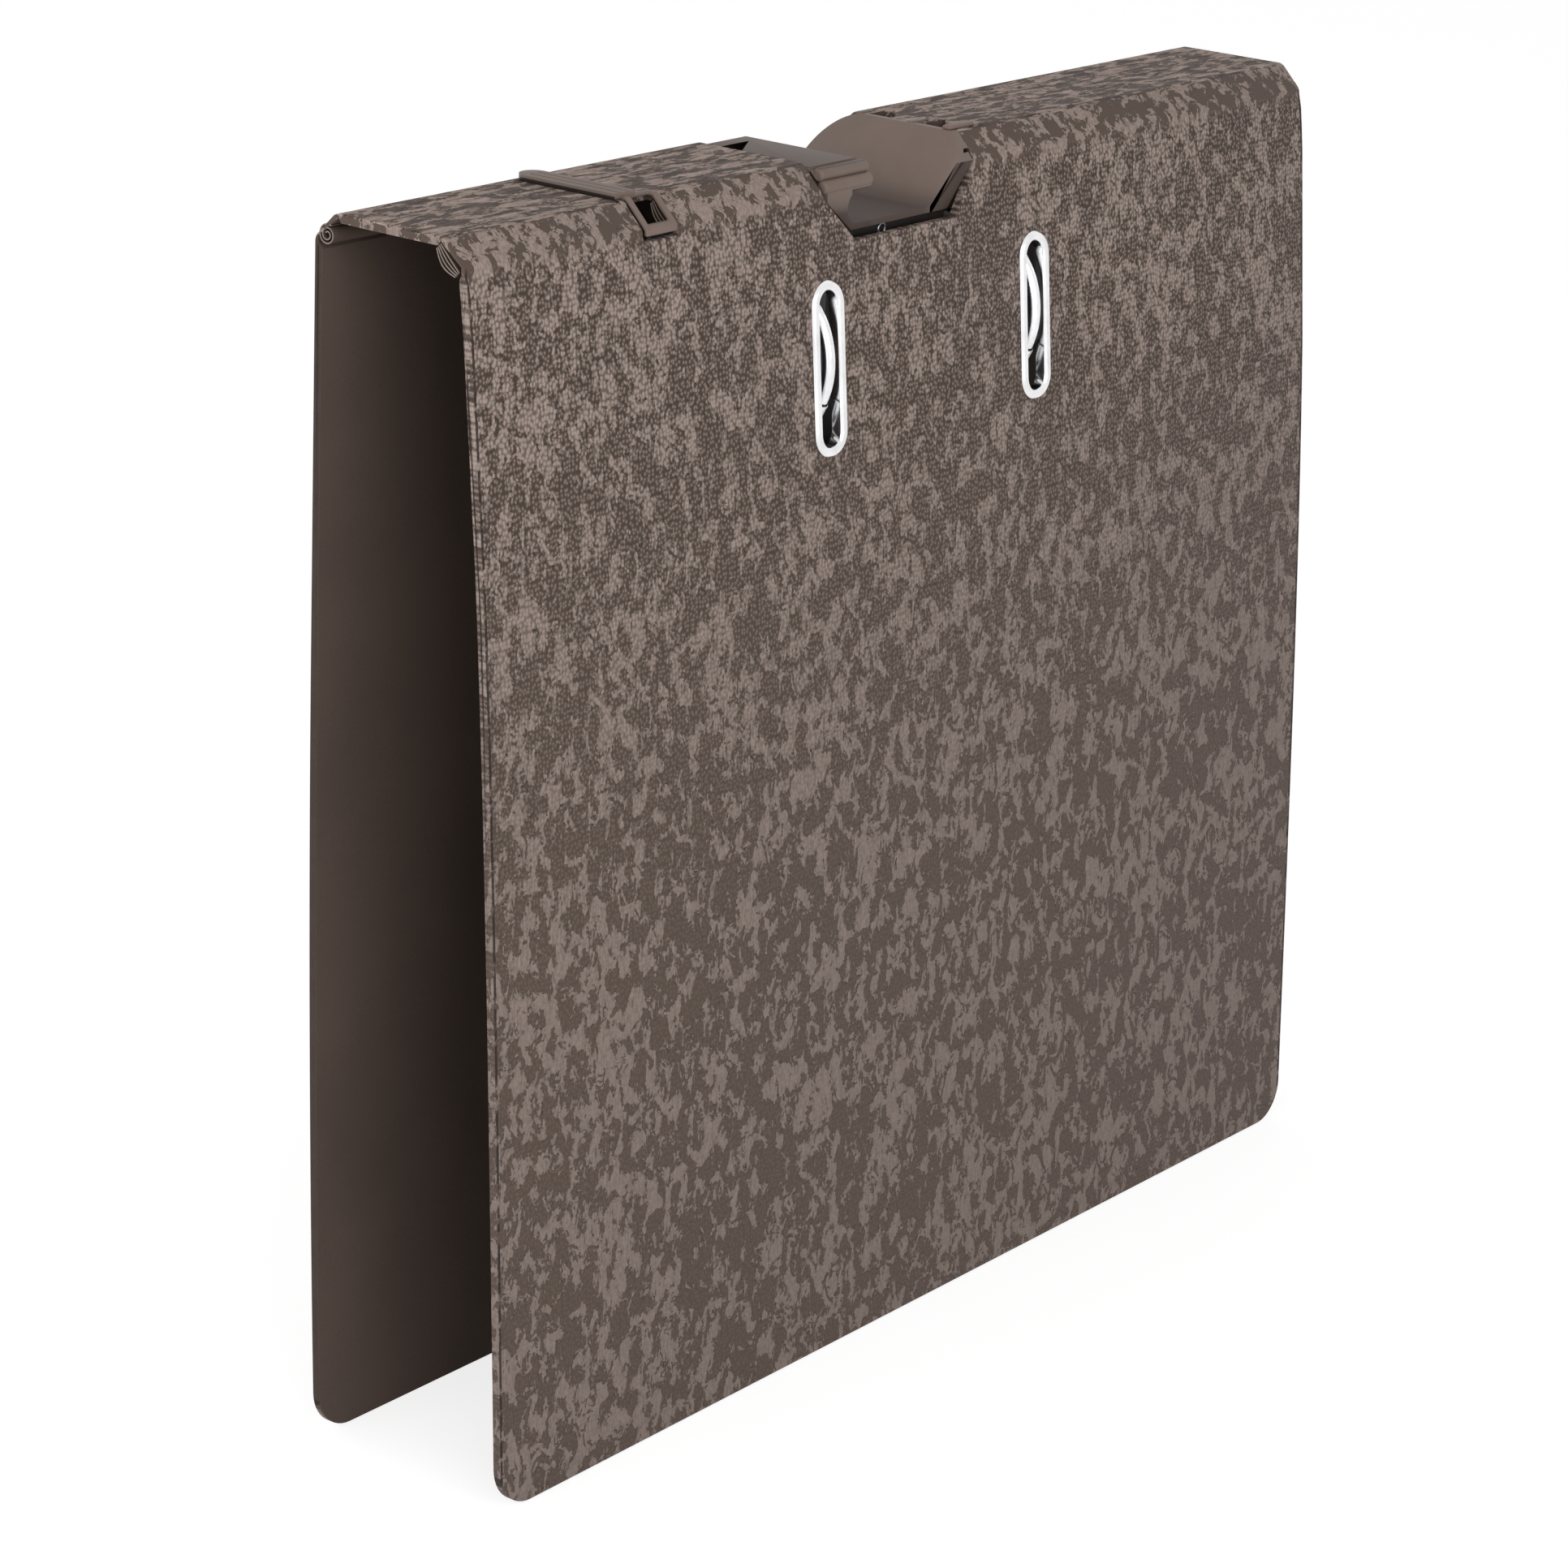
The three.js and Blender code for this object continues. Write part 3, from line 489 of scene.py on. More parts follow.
@dataclass(frozen=True)
class LiningPaper:
    """Plain dark paper, as on the inside of the boards and on their edges."""

    colour: Colour = rgb(84, 71, 64)
    name: str = "lining_paper"
    clouds: float = 25.0
    fibres: float = 1600.0

    def material(self) -> bpy.types.Material:
        """The paper: nearly even, with soft fibres.

        Returns:
            The finished material.
        """
        s = Shader.named(self.name, follows=True)
        where = s.place()
        cloud = s.noise(where, self.clouds, 3, 0.5)
        fibre = s.noise(where, self.fibres, 2, 0.6)
        tone = (cloud * 0.6 + fibre * 0.4).ramp(0.3, 0.7)
        s.set(
            Base_Color=s.mix(tone, dimmed(self.colour, 0.8), self.colour),
            Roughness=0.75 + fibre * 0.15,
            Specular_IOR_Level=0.2,
        )
        s.bump(fibre, 0.15, 0.00005)
        return s.owner


@dataclass(frozen=True)
class Moulding:
    """Matt moulded plastic."""

    name: str
    colour: Colour
    roughness: float = 0.5
    # Painted shade: deep in the hanger's channel and gap in its narrow gaps, used where trough is
    # set.
    deep: Colour = rgb(46, 33, 28)
    gap: Colour = rgb(12, 10, 9)
    trough: bool = False
    grains: float = 2600.0
    clouds: float = 60.0

    def material(self) -> bpy.types.Material:
        """The plastic: fine spark-eroded grain and slight handling marks, with painted shade on
        the hanger and strap where trough is set.

        Returns:
            The finished material.
        """
        s = Shader.named(self.name)
        where = s.place()
        grain = s.noise(where, self.grains, 2, 0.6)
        cloud = s.noise(where, self.clouds, 3, 0.55)
        colour = s.mix(cloud.ramp(0.3, 0.7), dimmed(self.colour, 0.86), self.colour)
        if self.trough:
            shade, gaps = self.shade(s)
            colour = s.mix(gaps, s.mix(shade * 0.85, colour, self.deep), self.gap)
        s.set(
            Base_Color=colour,
            Roughness=self.roughness + (cloud - 0.5) * 0.15 + (grain - 0.5) * 0.1,
            Specular_IOR_Level=0.2,
        )
        s.bump(grain, 0.12, 0.00004)
        return s.owner

    def shade(self, s: Shader) -> tuple[Wire, Wire]:
        """Where the hanger and the strap are painted darker than their own plastic, as shade.

        Args:
            s: The shader that the nodes go into.

        Returns:
            The painted shade of the channel, from 0 to 1, and the painted shade in the narrow gaps
            under and beside the pieces.
        """
        x, y, z = (s.part(s.spot(), axis) for axis in range(3))
        # Each field is painted shade on a piece of the hanger, found by its place in metres: the
        # floor, the cup, the web behind the wall, the lip's top and the cup under the lip.
        floor = (1 - z.ramp(0.2703, 0.276)) * (1 - x.ramp(-0.002, 0.008))
        cup = (1 - z.ramp(0.2705, 0.2785)) * (1 - x.ramp(-0.0265, -0.02))
        # How far a point lies behind the slanted wall, by the wall's normal.
        across = (x - 0.0015) * 0.6812 - (z - 0.2703) * 0.7322
        web = (across > 0.0012) * (y < (SPINE_Y - 19) * MM) * (z < FOLD_Z * MM)
        lip_end, hanger_end, lip_top, flange_top = -0.0205, -0.06, 0.28385, 0.2835
        lip = (z > lip_top) * (x < lip_end) * (x > hanger_end) * 0.55
        under = z.ramp(0.2758, 0.2779) * (z < 0.2783) * (x < lip_end) * (x > -0.0285)
        shade = (floor * 0.9 + cup * 0.7 + web + lip + under).clamp()
        # Painted shade, near-black: the slit under the channel with the apron in it, the right
        # flange under the board, the gutter at the board's edge and the pocket at the back of the
        # lip.
        below = (z < 0.2688) + (x > 0.0192) * (z < flange_top)
        gutter = (x < -0.0389) * (x > hanger_end) * (z < flange_top)
        pocket = (y > (SPINE_Y + 3) * MM) * (x < -0.0255) * (z < lip_top) * (x > hanger_end)
        # Painted shadow along the foot of the strap, at the line between the strap and the board.
        line = (z < 0.2857) * (z > 0.2849) * (x < -0.1032)
        return shade, (below + gutter + pocket + line).clamp() * 0.9


@dataclass(frozen=True)
class PlatedSteel:
    """Plated steel, bright or satin."""

    name: str
    colour: Colour
    roughness: float
    brushed: float = 0.0
    lines: float = 420.0
    spots: float = 150.0

    def material(self) -> bpy.types.Material:
        """The plate: faint drawing lines and rubbed spots.

        Returns:
            The finished material.
        """
        s = Shader.named(self.name)
        drawn = s.noise(s.place((1.0, 12.0, 1.0)), self.lines, 3, 0.6)
        rubbed = s.noise(s.place(), self.spots, 3, 0.6)
        s.set(
            Base_Color=s.mix(rubbed.ramp(0.35, 0.75), self.colour, dimmed(self.colour, 0.85)),
            Metallic=1.0,
            Roughness=self.roughness + (drawn - 0.5) * self.brushed + (rubbed - 0.5) * 0.08,
        )
        s.bump(drawn, 0.05 + self.brushed * 0.2, 0.00003)
        return s.owner


class Finish(Enum):
    """Every finish in the scene, made once."""

    MARBLE = "marble"
    LINING = "lining"
    LAYER = "layer"
    HANGER = "hanger"
    GRIP = "grip"
    NICKEL = "nickel"
    ZINC = "zinc"


class Finishes:
    """Makes each finish once and hands it out."""

    def __init__(self) -> None:
        """Makes the material of every finish."""
        makers = {
            Finish.MARBLE: MarblePaper(),
            Finish.LINING: LiningPaper(),
            Finish.LAYER: LiningPaper(colour=rgb(140, 127, 119), name="layered_board"),
            Finish.HANGER: Moulding("hanger_plastic", rgb(116, 101, 93), trough=True),
            Finish.GRIP: Moulding("grip_plastic", rgb(40, 38, 37), 0.4),
            Finish.NICKEL: PlatedSteel("bright_nickel", (0.86, 0.86, 0.87, 1.0), 0.16),
            Finish.ZINC: PlatedSteel("zinc_plate", (0.42, 0.42, 0.43, 1.0), 0.42, 0.2),
        }
        self.made = {key: maker.material() for key, maker in makers.items()}

    def dress(self, piece: Thing, *finishes: Finish) -> None:
        """Gives a piece its finishes.

        Args:
            piece: What is dressed.
            finishes: One for each material slot. The first one goes all over.
        """
        piece.data.materials.clear()
        for finish in finishes:
            piece.data.materials.append(self.made[finish])


def deselect() -> None:
    """Leaves every object unselected and object mode on."""
    if bpy.context.object and bpy.context.object.mode != "OBJECT":
        bpy.ops.object.mode_set(mode="OBJECT")
    bpy.ops.object.select_all(action="DESELECT")


def pick(*pieces: Thing) -> None:
    """Selects only some objects, and makes the first one active.

    Args:
        pieces: The objects.
    """
    deselect()
    for piece in pieces:
        piece.select_set(True)
    bpy.context.view_layer.objects.active = pieces[0]


def settle(piece: Thing) -> Thing:
    """Moves a piece's place into its mesh, so that its object sits at the origin.

    Args:
        piece: The object to settle.

    Returns:
        The same object.
    """
    pick(piece)
    bpy.ops.object.transform_apply(location=True, rotation=True, scale=True)
    return piece


def smooth(piece: Thing, degrees: float = 35) -> Thing:
    """Shades a piece smooth, with its sharp edges kept crisp.

    Args:
        piece: The object to shade.
        degrees: The angle from which an edge is sharp.

    Returns:
        The same object.
    """
    pick(piece)
    bpy.ops.object.shade_smooth_by_angle(angle=math.radians(degrees))
    return piece


def apply_modifier(piece: Thing, kind: str, **settings: Any) -> Thing:
    """Adds one modifier to a piece, sets it and applies it.

    Args:
        piece: The object that it works on.
        kind: The modifier's Blender type.
        settings: Its properties.

    Returns:
        The same object.
    """
    pick(piece)
    made = piece.modifiers.new(kind.lower(), kind)
    for key, value in settings.items():
        setattr(made, key, value)
    bpy.ops.object.modifier_apply(modifier=made.name)
    return piece


def round_edges(piece: Thing, width: float, segments: int = 3,
                degrees: float = 35) -> Thing:
    """Rounds a piece's sharp edges.

    Args:
        piece: The object to round.
        width: The bevel's width in millimetres.
        segments: Its steps.
        degrees: The angle from which an edge is rounded.

    Returns:
        The same object, shaded smooth.
    """
    apply_modifier(piece, "BEVEL", width=width * MM, segments=segments, limit_method="ANGLE",
                   angle_limit=math.radians(degrees), harden_normals=False)
    return smooth(piece)


def cut(piece: Thing, tool: Thing, how: str = "DIFFERENCE") -> Thing:
    """Cuts, joins or trims a piece by a tool and removes the tool.

    Args:
        piece: The object that stays.
        tool: The object that is used up.
        how: The boolean operation.

    Returns:
        The object that stays.
    """
    apply_modifier(piece, "BOOLEAN", object=tool, operation=how, solver="EXACT")
    bpy.data.objects.remove(tool)
    return piece


def chain(name: str, points: Sequence[Vector], closed: bool = False) -> Thing:
    """A run of edges drawn point by point by extruding a vertex.

    Args:
        name: The object's name.
        points: Where the run goes.
        closed: Whether its end is joined to its start.

    Returns:
        The object, with the run selected and object mode on.
    """
    deselect()
    bpy.ops.mesh.primitive_plane_add(size=MM, location=points[0])
    piece = bpy.context.object
    piece.name = name
    bpy.ops.object.mode_set(mode="EDIT")
    bpy.ops.mesh.select_mode(type="VERT")
    bpy.ops.mesh.select_all(action="SELECT")
    bpy.ops.mesh.merge(type="CENTER")
    for before, after in zip(points, points[1:]):
        bpy.ops.mesh.extrude_region_move(
            TRANSFORM_OT_translate={"value": after - before},
        )
    bpy.ops.mesh.select_all(action="SELECT")
    if closed:
        bpy.ops.mesh.edge_face_add()
    bpy.ops.object.mode_set(mode="OBJECT")
    return settle(piece)


def drawn_out(name: str, points: Sequence[Vector], way: Vector,
              closed: bool = False) -> Thing:
    """A run of edges, or a closed face, extruded.

    Args:
        name: The object's name.
        points: Where the run goes.
        way: The direction and length of the extrusion in metres.
        closed: Whether the run is a face and the result a solid.

    Returns:
        The object.
    """
    piece = chain(name, points, closed)
    bpy.ops.object.mode_set(mode="EDIT")
    bpy.ops.mesh.select_all(action="SELECT")
    bpy.ops.mesh.extrude_region_move(TRANSFORM_OT_translate={"value": way})
    bpy.ops.object.mode_set(mode="OBJECT")
    return face_out(piece) if closed else piece


def box(name: str, low: Point, high: Point) -> Thing:
    """A cube stretched between two corners.

    Args:
        name: The object's name.
        low: Its low corner in millimetres.
        high: Its high corner in millimetres.

    Returns:
        The object.
    """
    deselect()
    a, b = at(*low), at(*high)
    bpy.ops.mesh.primitive_cube_add(size=1, location=(a + b) / 2)
    piece = bpy.context.object
    piece.name = name
    bpy.ops.transform.resize(value=tuple(b - a))
    return settle(piece)


def rod(name: str, radius: float, start: Vector, end: Vector, sides: int = 40) -> Thing:
    """A cylinder between two points.

    Args:
        name: The object's name.
        radius: Its radius in millimetres.
        start: The middle of one end.
        end: The middle of the other.
        sides: How many flats it is made of.

    Returns:
        The object.
    """
    deselect()
    way = end - start
    turn = way.to_track_quat("Z", "Y").to_euler()
    bpy.ops.mesh.primitive_cylinder_add(
        vertices=sides, radius=radius * MM, depth=way.length, location=(start + end) / 2,
        rotation=turn,
    )
    piece = bpy.context.object
    piece.name = name
    return settle(piece)


def tube(name: str, points: Sequence[Vector], radius: float) -> Thing:
    """A round bar along a run of points, with closed ends.

    Args:
        name: The object's name.
        points: Its middle line.
        radius: Its radius in millimetres.

    Returns:
        The object.
    """
    piece = chain(name, points)
    pick(piece)
    bpy.ops.object.convert(target="CURVE")
    piece = bpy.context.object
    piece.data.bevel_depth = radius * MM
    piece.data.bevel_resolution = 6
    piece.data.use_fill_caps = True
    bpy.ops.object.convert(target="MESH")
    piece = bpy.context.object
    bpy.ops.object.mode_set(mode="EDIT")
    bpy.ops.mesh.select_all(action="SELECT")
    bpy.ops.mesh.remove_doubles(threshold=1e-7)
    bpy.ops.object.mode_set(mode="OBJECT")
    return smooth(face_out(piece), 50)


def face_out(piece: Thing) -> Thing:
    """Turns the faces of a piece outwards.

    Args:
        piece: The object, in object mode.

    Returns:
        The same object.
    """
    pick(piece)
    bpy.ops.object.mode_set(mode="EDIT")
    bpy.ops.mesh.select_all(action="SELECT")
    bpy.ops.mesh.normals_make_consistent(inside=False)
    bpy.ops.object.mode_set(mode="OBJECT")
    return piece


def arc(centre: Pair, radius: float, start: float, end: float, steps: int) -> list[Pair]:
    """Points of an arc in a plane.

    Args:
        centre: The arc's middle.
        radius: Its radius.
        start: The first point's angle in degrees.
        end: The last point's angle in degrees.
        steps: How many chords lie between them.

    Returns:
        The points, one more than the steps.
    """
    found = []
    for i in range(steps + 1):
        a = math.radians(start + (end - start) * i / steps)
        found.append((centre[0] + radius * math.cos(a), centre[1] + radius * math.sin(a)))
    return found


def joined(name: str, *pieces: Thing) -> Thing:
    """Several shells as one object.

    Args:
        name: The object's name.
        pieces: The shells, which are used up.

    Returns:
        The object.
    """
    pick(*pieces)
    if len(pieces) > 1:
        bpy.ops.object.join()
    piece = bpy.context.object
    piece.name = name
    return piece


def paint(piece: Thing, slot: int, test: Callable[[Vector, Vector], bool]) -> None:
    """Gives a material slot to some faces.

    Args:
        piece: The object.
        slot: The slot's place in its list.
        test: Whether a face takes it, by the face's middle and normal.
    """
    for face in piece.data.polygons:
        if test(face.center, face.normal):
            face.material_index = slot


def remember(piece: Thing) -> Thing:
    """Stores where each point lies at rest, for the patterns that follow a bent board.

    Args:
        piece: The object.

    Returns:
        The same object.
    """
    marks = piece.data.attributes.new("rest", "FLOAT_VECTOR", "POINT")
    for vertex, mark in zip(piece.data.vertices, marks.data):
        mark.vector = vertex.co
    return piece


def stand_for(piece: Thing, body: Body, *nodes: str) -> Thing:
    """Puts a piece on a body.

    Args:
        piece: The finished object.
        body: What it moves with.
        nodes: The CAD nodes that it replaces.

    Returns:
        The same object.
    """
    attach(piece, body.value)
    if nodes:
        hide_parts(*nodes)
    log.info("%s on %s, %d faces", piece.name, body.value, len(piece.data.polygons))
    return piece


@dataclass
class CoverShape:
    """The run of a cover's outer face from its foot up to the fold, outwards in millimetres."""

    flare: float
    bow: float
    skew: float = 0.65
    lean: float = 0.0
    lean_from: float = 190.0
    flat: Optional[Pair] = None

    def curve(self, z: float) -> float:
        """How far out the face is without its straight run.

        Args:
            z: Height in millimetres.

        Returns:
            Millimetres from the spine's middle.
        """
        t = max(0.0, (FOLD_Z - z) / FOLD_Z)
        low = max(0.0, (self.lean_from - z) / self.lean_from)
        bow = self.bow * math.sin(math.pi * t ** self.skew)
        return HALF + self.flare * t + bow - self.lean * low * low

    def face(self, z: float) -> float:
        """How far out the face is, with the straight run that the eyelets sit on.

        Args:
            z: Height in millimetres.

        Returns:
            Millimetres from the spine's middle.
        """
        if self.flat is None or not self.flat[0] <= z <= self.flat[1]:
            return self.curve(z)
        low, high = self.flat
        share = (high - z) / (high - low)
        return self.curve(high) + share * (self.curve(low) - self.curve(high))


FRONT_SHAPE = CoverShape(flare=18.7, bow=2.8, flat=FLAT_RUN)
BACK_SHAPE = CoverShape(flare=0.0, bow=0.0, lean=3.5)


@dataclass
class Cover:
    """One cover board with its fold and bevel, up to a seam on the flat of the spine."""

    name: str
    side: int
    shape: CoverShape
    body: Body
    node: str
    seam: float = 11.0
    skin: float = 0.75
    corner: float = 10.0
    # Half the height of the band at the fold where the board would bend; its bounds are worked out
    # but nothing bends the board.
    bend: float = 1.6
    loop: Optional[tuple[float, float, float, float]] = None

    def section(self) -> list[Vector]:
        """The board's closed section: up the outer face, over the bevel, and down inside.

        Returns:
            The section's corners at the board's left end.
        """
        levels = [12.0 * i for i in range(18)] + [214, 225, 237, 250, 264, 270, 274.5]
        points = [(self.shape.face(z), z) for z in levels]
        points += self.turn((self.shape.face(FOLD_Z), FOLD_Z), 0.0, 45.0)
        points += self.turn((FLAT_HALF, HEIGHT), 45.0, 90.0)
        points += [(self.seam, HEIGHT), (self.seam, HEIGHT - BOARD)]
        skin = self.skin
        points += [(FLAT_HALF - 1.6, HEIGHT - BOARD), (FLAT_HALF - 0.9, HEIGHT - skin - 0.2)]
        points += [(HALF - skin - 0.1, FOLD_Z + 0.3), (HALF - skin, FOLD_Z - 1.2)]
        points += [(self.shape.face(276) - BOARD, 276.6)]
        points += [(self.shape.face(z) - BOARD, z) for z in reversed(levels)]
        return [at(-LENGTH / 2, self.side * out, z) for out, z in points]

    def turn(self, corner: Pair, start: float, end: float, radius: float = 2.6) -> list[Pair]:
        """A rounded corner between two runs of the section.

        Args:
            corner: Where the runs would meet.
            start: The angle of the first run's normal in degrees.
            end: The angle of the second run's normal.
            radius: The rounding in millimetres.

        Returns:
            The points of the rounding.
        """
        half = math.radians((end - start) / 2)
        reach = radius / math.cos(half)
        middle = math.radians((start + end) / 2)
        centre = (corner[0] - reach * math.cos(middle), corner[1] - reach * math.sin(middle))
        return arc(centre, radius, start, end, 6)

    def outline(self) -> Thing:
        """The upright outline with rounded foot corners.

        Returns:
            The cutting tool.
        """
        tool = box("outline", (-LENGTH / 2, -70, 0), (LENGTH / 2, 50, HEIGHT + 20))
        pick(tool)
        bpy.ops.object.mode_set(mode="EDIT")
        bpy.ops.mesh.select_all(action="DESELECT")
        bpy.ops.mesh.select_mode(type="EDGE")
        mesh = bmesh.from_edit_mesh(tool.data)
        for edge in mesh.edges:
            level = all(abs(v.co.z) < 1e-6 for v in edge.verts)
            along_y = abs(edge.verts[0].co.x - edge.verts[1].co.x) < 1e-6
            edge.select = level and along_y
        bmesh.update_edit_mesh(tool.data)
        bpy.ops.mesh.bevel(offset=self.corner * MM, segments=12)
        bpy.ops.object.mode_set(mode="OBJECT")
        return tool

    def notch(self) -> Thing:
        """The notch for the hanger.

        Returns:
            The cutting tool.
        """
        left, right = OPENING
        points = [(left, HEIGHT + CLEAR), (left, FOLD_Z), (-38, 276), (-28.8, 267),
                  (9.2, 267), (18.4, FOLD_Z), (right, HEIGHT + CLEAR)]
        path = [at(x, -60, z) for x, z in points]
        return drawn_out("notch", path, Vector((0, ACROSS, 0)), closed=True)

    def build(self, finishes: Finishes) -> Thing:
        """Makes the board, cuts it and dresses it.

        Args:
            finishes: Where its papers come from.

        Returns:
            The finished board.
        """
        sheet = drawn_out(self.name, self.section(), Vector((LENGTH * MM, 0, 0)), closed=True)
        cut(sheet, self.outline(), "INTERSECT")
        cut(sheet, self.notch())
        if self.body is Body.FRONT:
            for x in SLOT_XS:
                cut(sheet, slot_tool(x, 8.4, 37.6))
        if self.loop:
            left, right, back, foot = self.loop
            low, high = (left, -HALF - 9, foot), (right, back, HEIGHT + CLEAR)
            cut(sheet, box("loop_room", low, high))
            cut(sheet, strap_groove())
        finishes.dress(sheet, Finish.MARBLE, Finish.LINING)
        paint(sheet, 1, self.looks_in)
        round_edges(sheet, 0.35, 3, 50)
        self.mark_depth(sheet)
        remember(sheet)
        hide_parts(self.node)
        upper = at(0, self.side * HALF, FOLD_Z + self.bend)
        lower = at(0, self.side * HALF, FOLD_Z - self.bend)
        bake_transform(sheet)
        log.info("%s on %s, %d faces", sheet.name, self.body.value, len(sheet.data.polygons))
        return sheet

    def mark_depth(self, sheet: Thing) -> None:
        """Stores how deep each point lies under the outer face, in millimetres.

        Args:
            sheet: The board.
        """
        marks = sheet.data.attributes.new("depth", "FLOAT", "POINT")
        for vertex, mark in zip(sheet.data.vertices, marks.data):
            z = vertex.co.z / MM
            out = self.side * (vertex.co.y / MM - SPINE_Y)
            mark.value = self.shape.face(z) - out if z < FOLD_Z else 0.0

    def looks_in(self, middle: Vector, normal: Vector) -> bool:
        """Whether a face looks into the file.

        Args:
            middle: The face's middle in metres.
            normal: The face's normal.

        Returns:
            True for the inside and for the edges that face down at the notch.
        """
        foot = middle.z < self.corner * MM
        return normal.y * self.side < -0.3 or (normal.z < -0.5 and not foot)


def strap_groove() -> Thing:
    """A cutting tool for the narrow crease pressed into the board beside the strap."""
    return box("groove", (-104.15, -15.3, HEIGHT - 1.1), (-103.5, 13.2, HEIGHT + 1))


def slot_tool(x: float, width: float, length: float) -> Thing:
    """A slot-shaped bar through the front cover, square to it.

    Args:
        x: The slot's middle along the spine in millimetres.
        width: The slot's width.
        length: The slot's length.

    Returns:
        The cutting tool.
    """
    reach = 6.0
    tool = slot_plate("slot_tool", x, width, length, -reach)
    pick(tool)
    bpy.ops.object.mode_set(mode="EDIT")
    bpy.ops.mesh.select_all(action="SELECT")
    way = slot_axes()[2] * 2 * reach * MM
    bpy.ops.mesh.extrude_region_move(TRANSFORM_OT_translate={"value": way})
    bpy.ops.object.mode_set(mode="OBJECT")
    return face_out(tool)


def slot_axes() -> tuple[Vector, Vector, Vector]:
    """The directions at the front cover's slots.

    Returns:
        Across, up and outwards, each of length 1.
    """
    low, high = FLAT_RUN
    rise = FRONT_SHAPE.curve(low) - FRONT_SHAPE.curve(high)
    up = Vector((0, rise, high - low)).normalized()
    across = Vector((1, 0, 0))
    return across, up, across.cross(up)


def slot_plate(name: str, x: float, width: float, length: float, out: float) -> Thing:
    """A flat face with half-round ends, laid along the front cover's face.

    Args:
        name: The object's name.
        x: Its middle along the spine in millimetres.
        width: Its width.
        length: Its length.
        out: How far it lies over the cover's face.

    Returns:
        The object.
    """
    across, up, outward = slot_axes()
    middle = at(x, -FRONT_SHAPE.face(SLOT_Z), SLOT_Z) + outward * out * MM
    radius = width / 2
    reach = length / 2 - radius
    points = arc((0, reach), radius, 0, 180, 18) + arc((0, -reach), radius, 180, 360, 18)
    path = [middle + across * a * MM + up * b * MM for a, b in points]
    return chain(name, path, closed=True)


@dataclass
class SpineTop:
    """The flat of the spine between the two cover boards' seams, on one side of the opening."""

    name: str
    node: str
    start: float
    end: float
    seam: float = 11.0
    layer: float = 0.28
    layers: int = 4

    def build(self, finishes: Finishes) -> None:
        """Makes the flat strip and the two crease rolls under the bevels.

        Args:
            finishes: Where the papers come from.
        """
        strip = box(self.name, (self.start, -self.seam, HEIGHT - BOARD),
                    (self.end, self.seam, HEIGHT))
        if self.node == "spine_right":
            for y in CLIP_YS:
                cut(strip, self.clip_hole(y))
        else:
            cut(strip, strap_groove())
        finishes.dress(strip, Finish.MARBLE, Finish.LINING)
        paint(strip, 1, lambda _, n: n.z < -0.5)
        stand_for(remember(smooth(strip)), Body.SPINE, self.node)
        for side, label in ((-1, "front"), (1, "back")):
            self.crease_roll(finishes, side, label)

    def clip_hole(self, y: float) -> Thing:
        """A three-cornered hole at the edge of the opening.

        Args:
            y: Its middle across the spine in millimetres.

        Returns:
            The cutting tool.
        """
        edge = OPENING[1]
        corners = [(edge - 1, y - 5.0), (edge + 1.5, y - 5.0), (edge + 7.6, y),
                   (edge + 1.5, y + 5.0), (edge - 1, y + 5.0)]
        path = [at(a, b, HEIGHT - 5) for a, b in corners]
        return drawn_out("clip_hole", path, Vector((0, 0, 8 * MM)), closed=True)

    def crease_roll(self, finishes: Finishes, side: int, label: str) -> None:
        """The board's inner layers along a fold: rolled at the back, nested at the front.

        Args:
            finishes: Where the papers come from.
            side: 1 for the back fold and -1 for the front one.
            label: The fold's name, for the piece's name.
        """
        if side > 0:
            runs = [self.scroll(side * 17.7, FOLD_Z + 0.85)]
        else:
            runs = [self.fan(i) for i in range(self.layers)]
        shells = []
        for i, points in enumerate(runs):
            path = [at(self.start, a, b) for a, b in points]
            way = Vector(((self.end - self.start) * MM, 0, 0))
            shell = drawn_out(f"{self.name}_{label}_layer_{i}", path, way)
            apply_modifier(shell, "SOLIDIFY", thickness=self.layer * MM, offset=0.0)
            if side < 0 and self.node == "spine_left":
                low, high = (LOOP_ROOM[0], -HALF - 9, 270), (LOOP_ROOM[1], -11, HEIGHT + CLEAR)
                cut(shell, box("loop_room", low, high))
            shells.append(shell)
        piece = face_out(joined(f"{self.name}_{label}_roll", *shells))
        finishes.dress(piece, Finish.LINING, Finish.LAYER)
        paint(piece, 1, lambda _, n: abs(n.x) > 0.5)
        stand_for(remember(smooth(piece)), Body.SPINE)

    def scroll(self, y: float, z: float) -> list[Pair]:
        """A spiral of board, seen from the end.

        Args:
            y: Its middle across the spine in millimetres.
            z: Its middle's height.

        Returns:
            The spiral's points from the inside out.
        """
        found = []
        steps, start, sweep = 40, 40, 800
        for i in range(steps + 1):
            turn = math.radians(start + sweep * i / steps)
            radius = 0.55 + 1.85 * i / steps
            found.append((y + radius * math.cos(turn), z + radius * math.sin(turn)))
        return found

    def fan(self, place: int) -> list[Pair]:
        """One of the bowed layers that hang between the spine board and the front cover.

        Args:
            place: Which layer, from 0 for the outermost.

        Returns:
            The layer's points from the spine down.
        """
        start, end = (-14.75, 283.75), (-20.05, 278.45)
        found = []
        steps = 14
        for i in range(steps + 1):
            t = i / steps
            inwards = 0.3 + 0.5 * place + (0.1 + 0.4 * place) * math.sin(math.pi * t)
            inwards *= math.sqrt(0.5)
            found.append((start[0] + (end[0] - start[0]) * t + inwards,
                          start[1] + (end[1] - start[1]) * t - inwards))
        return found


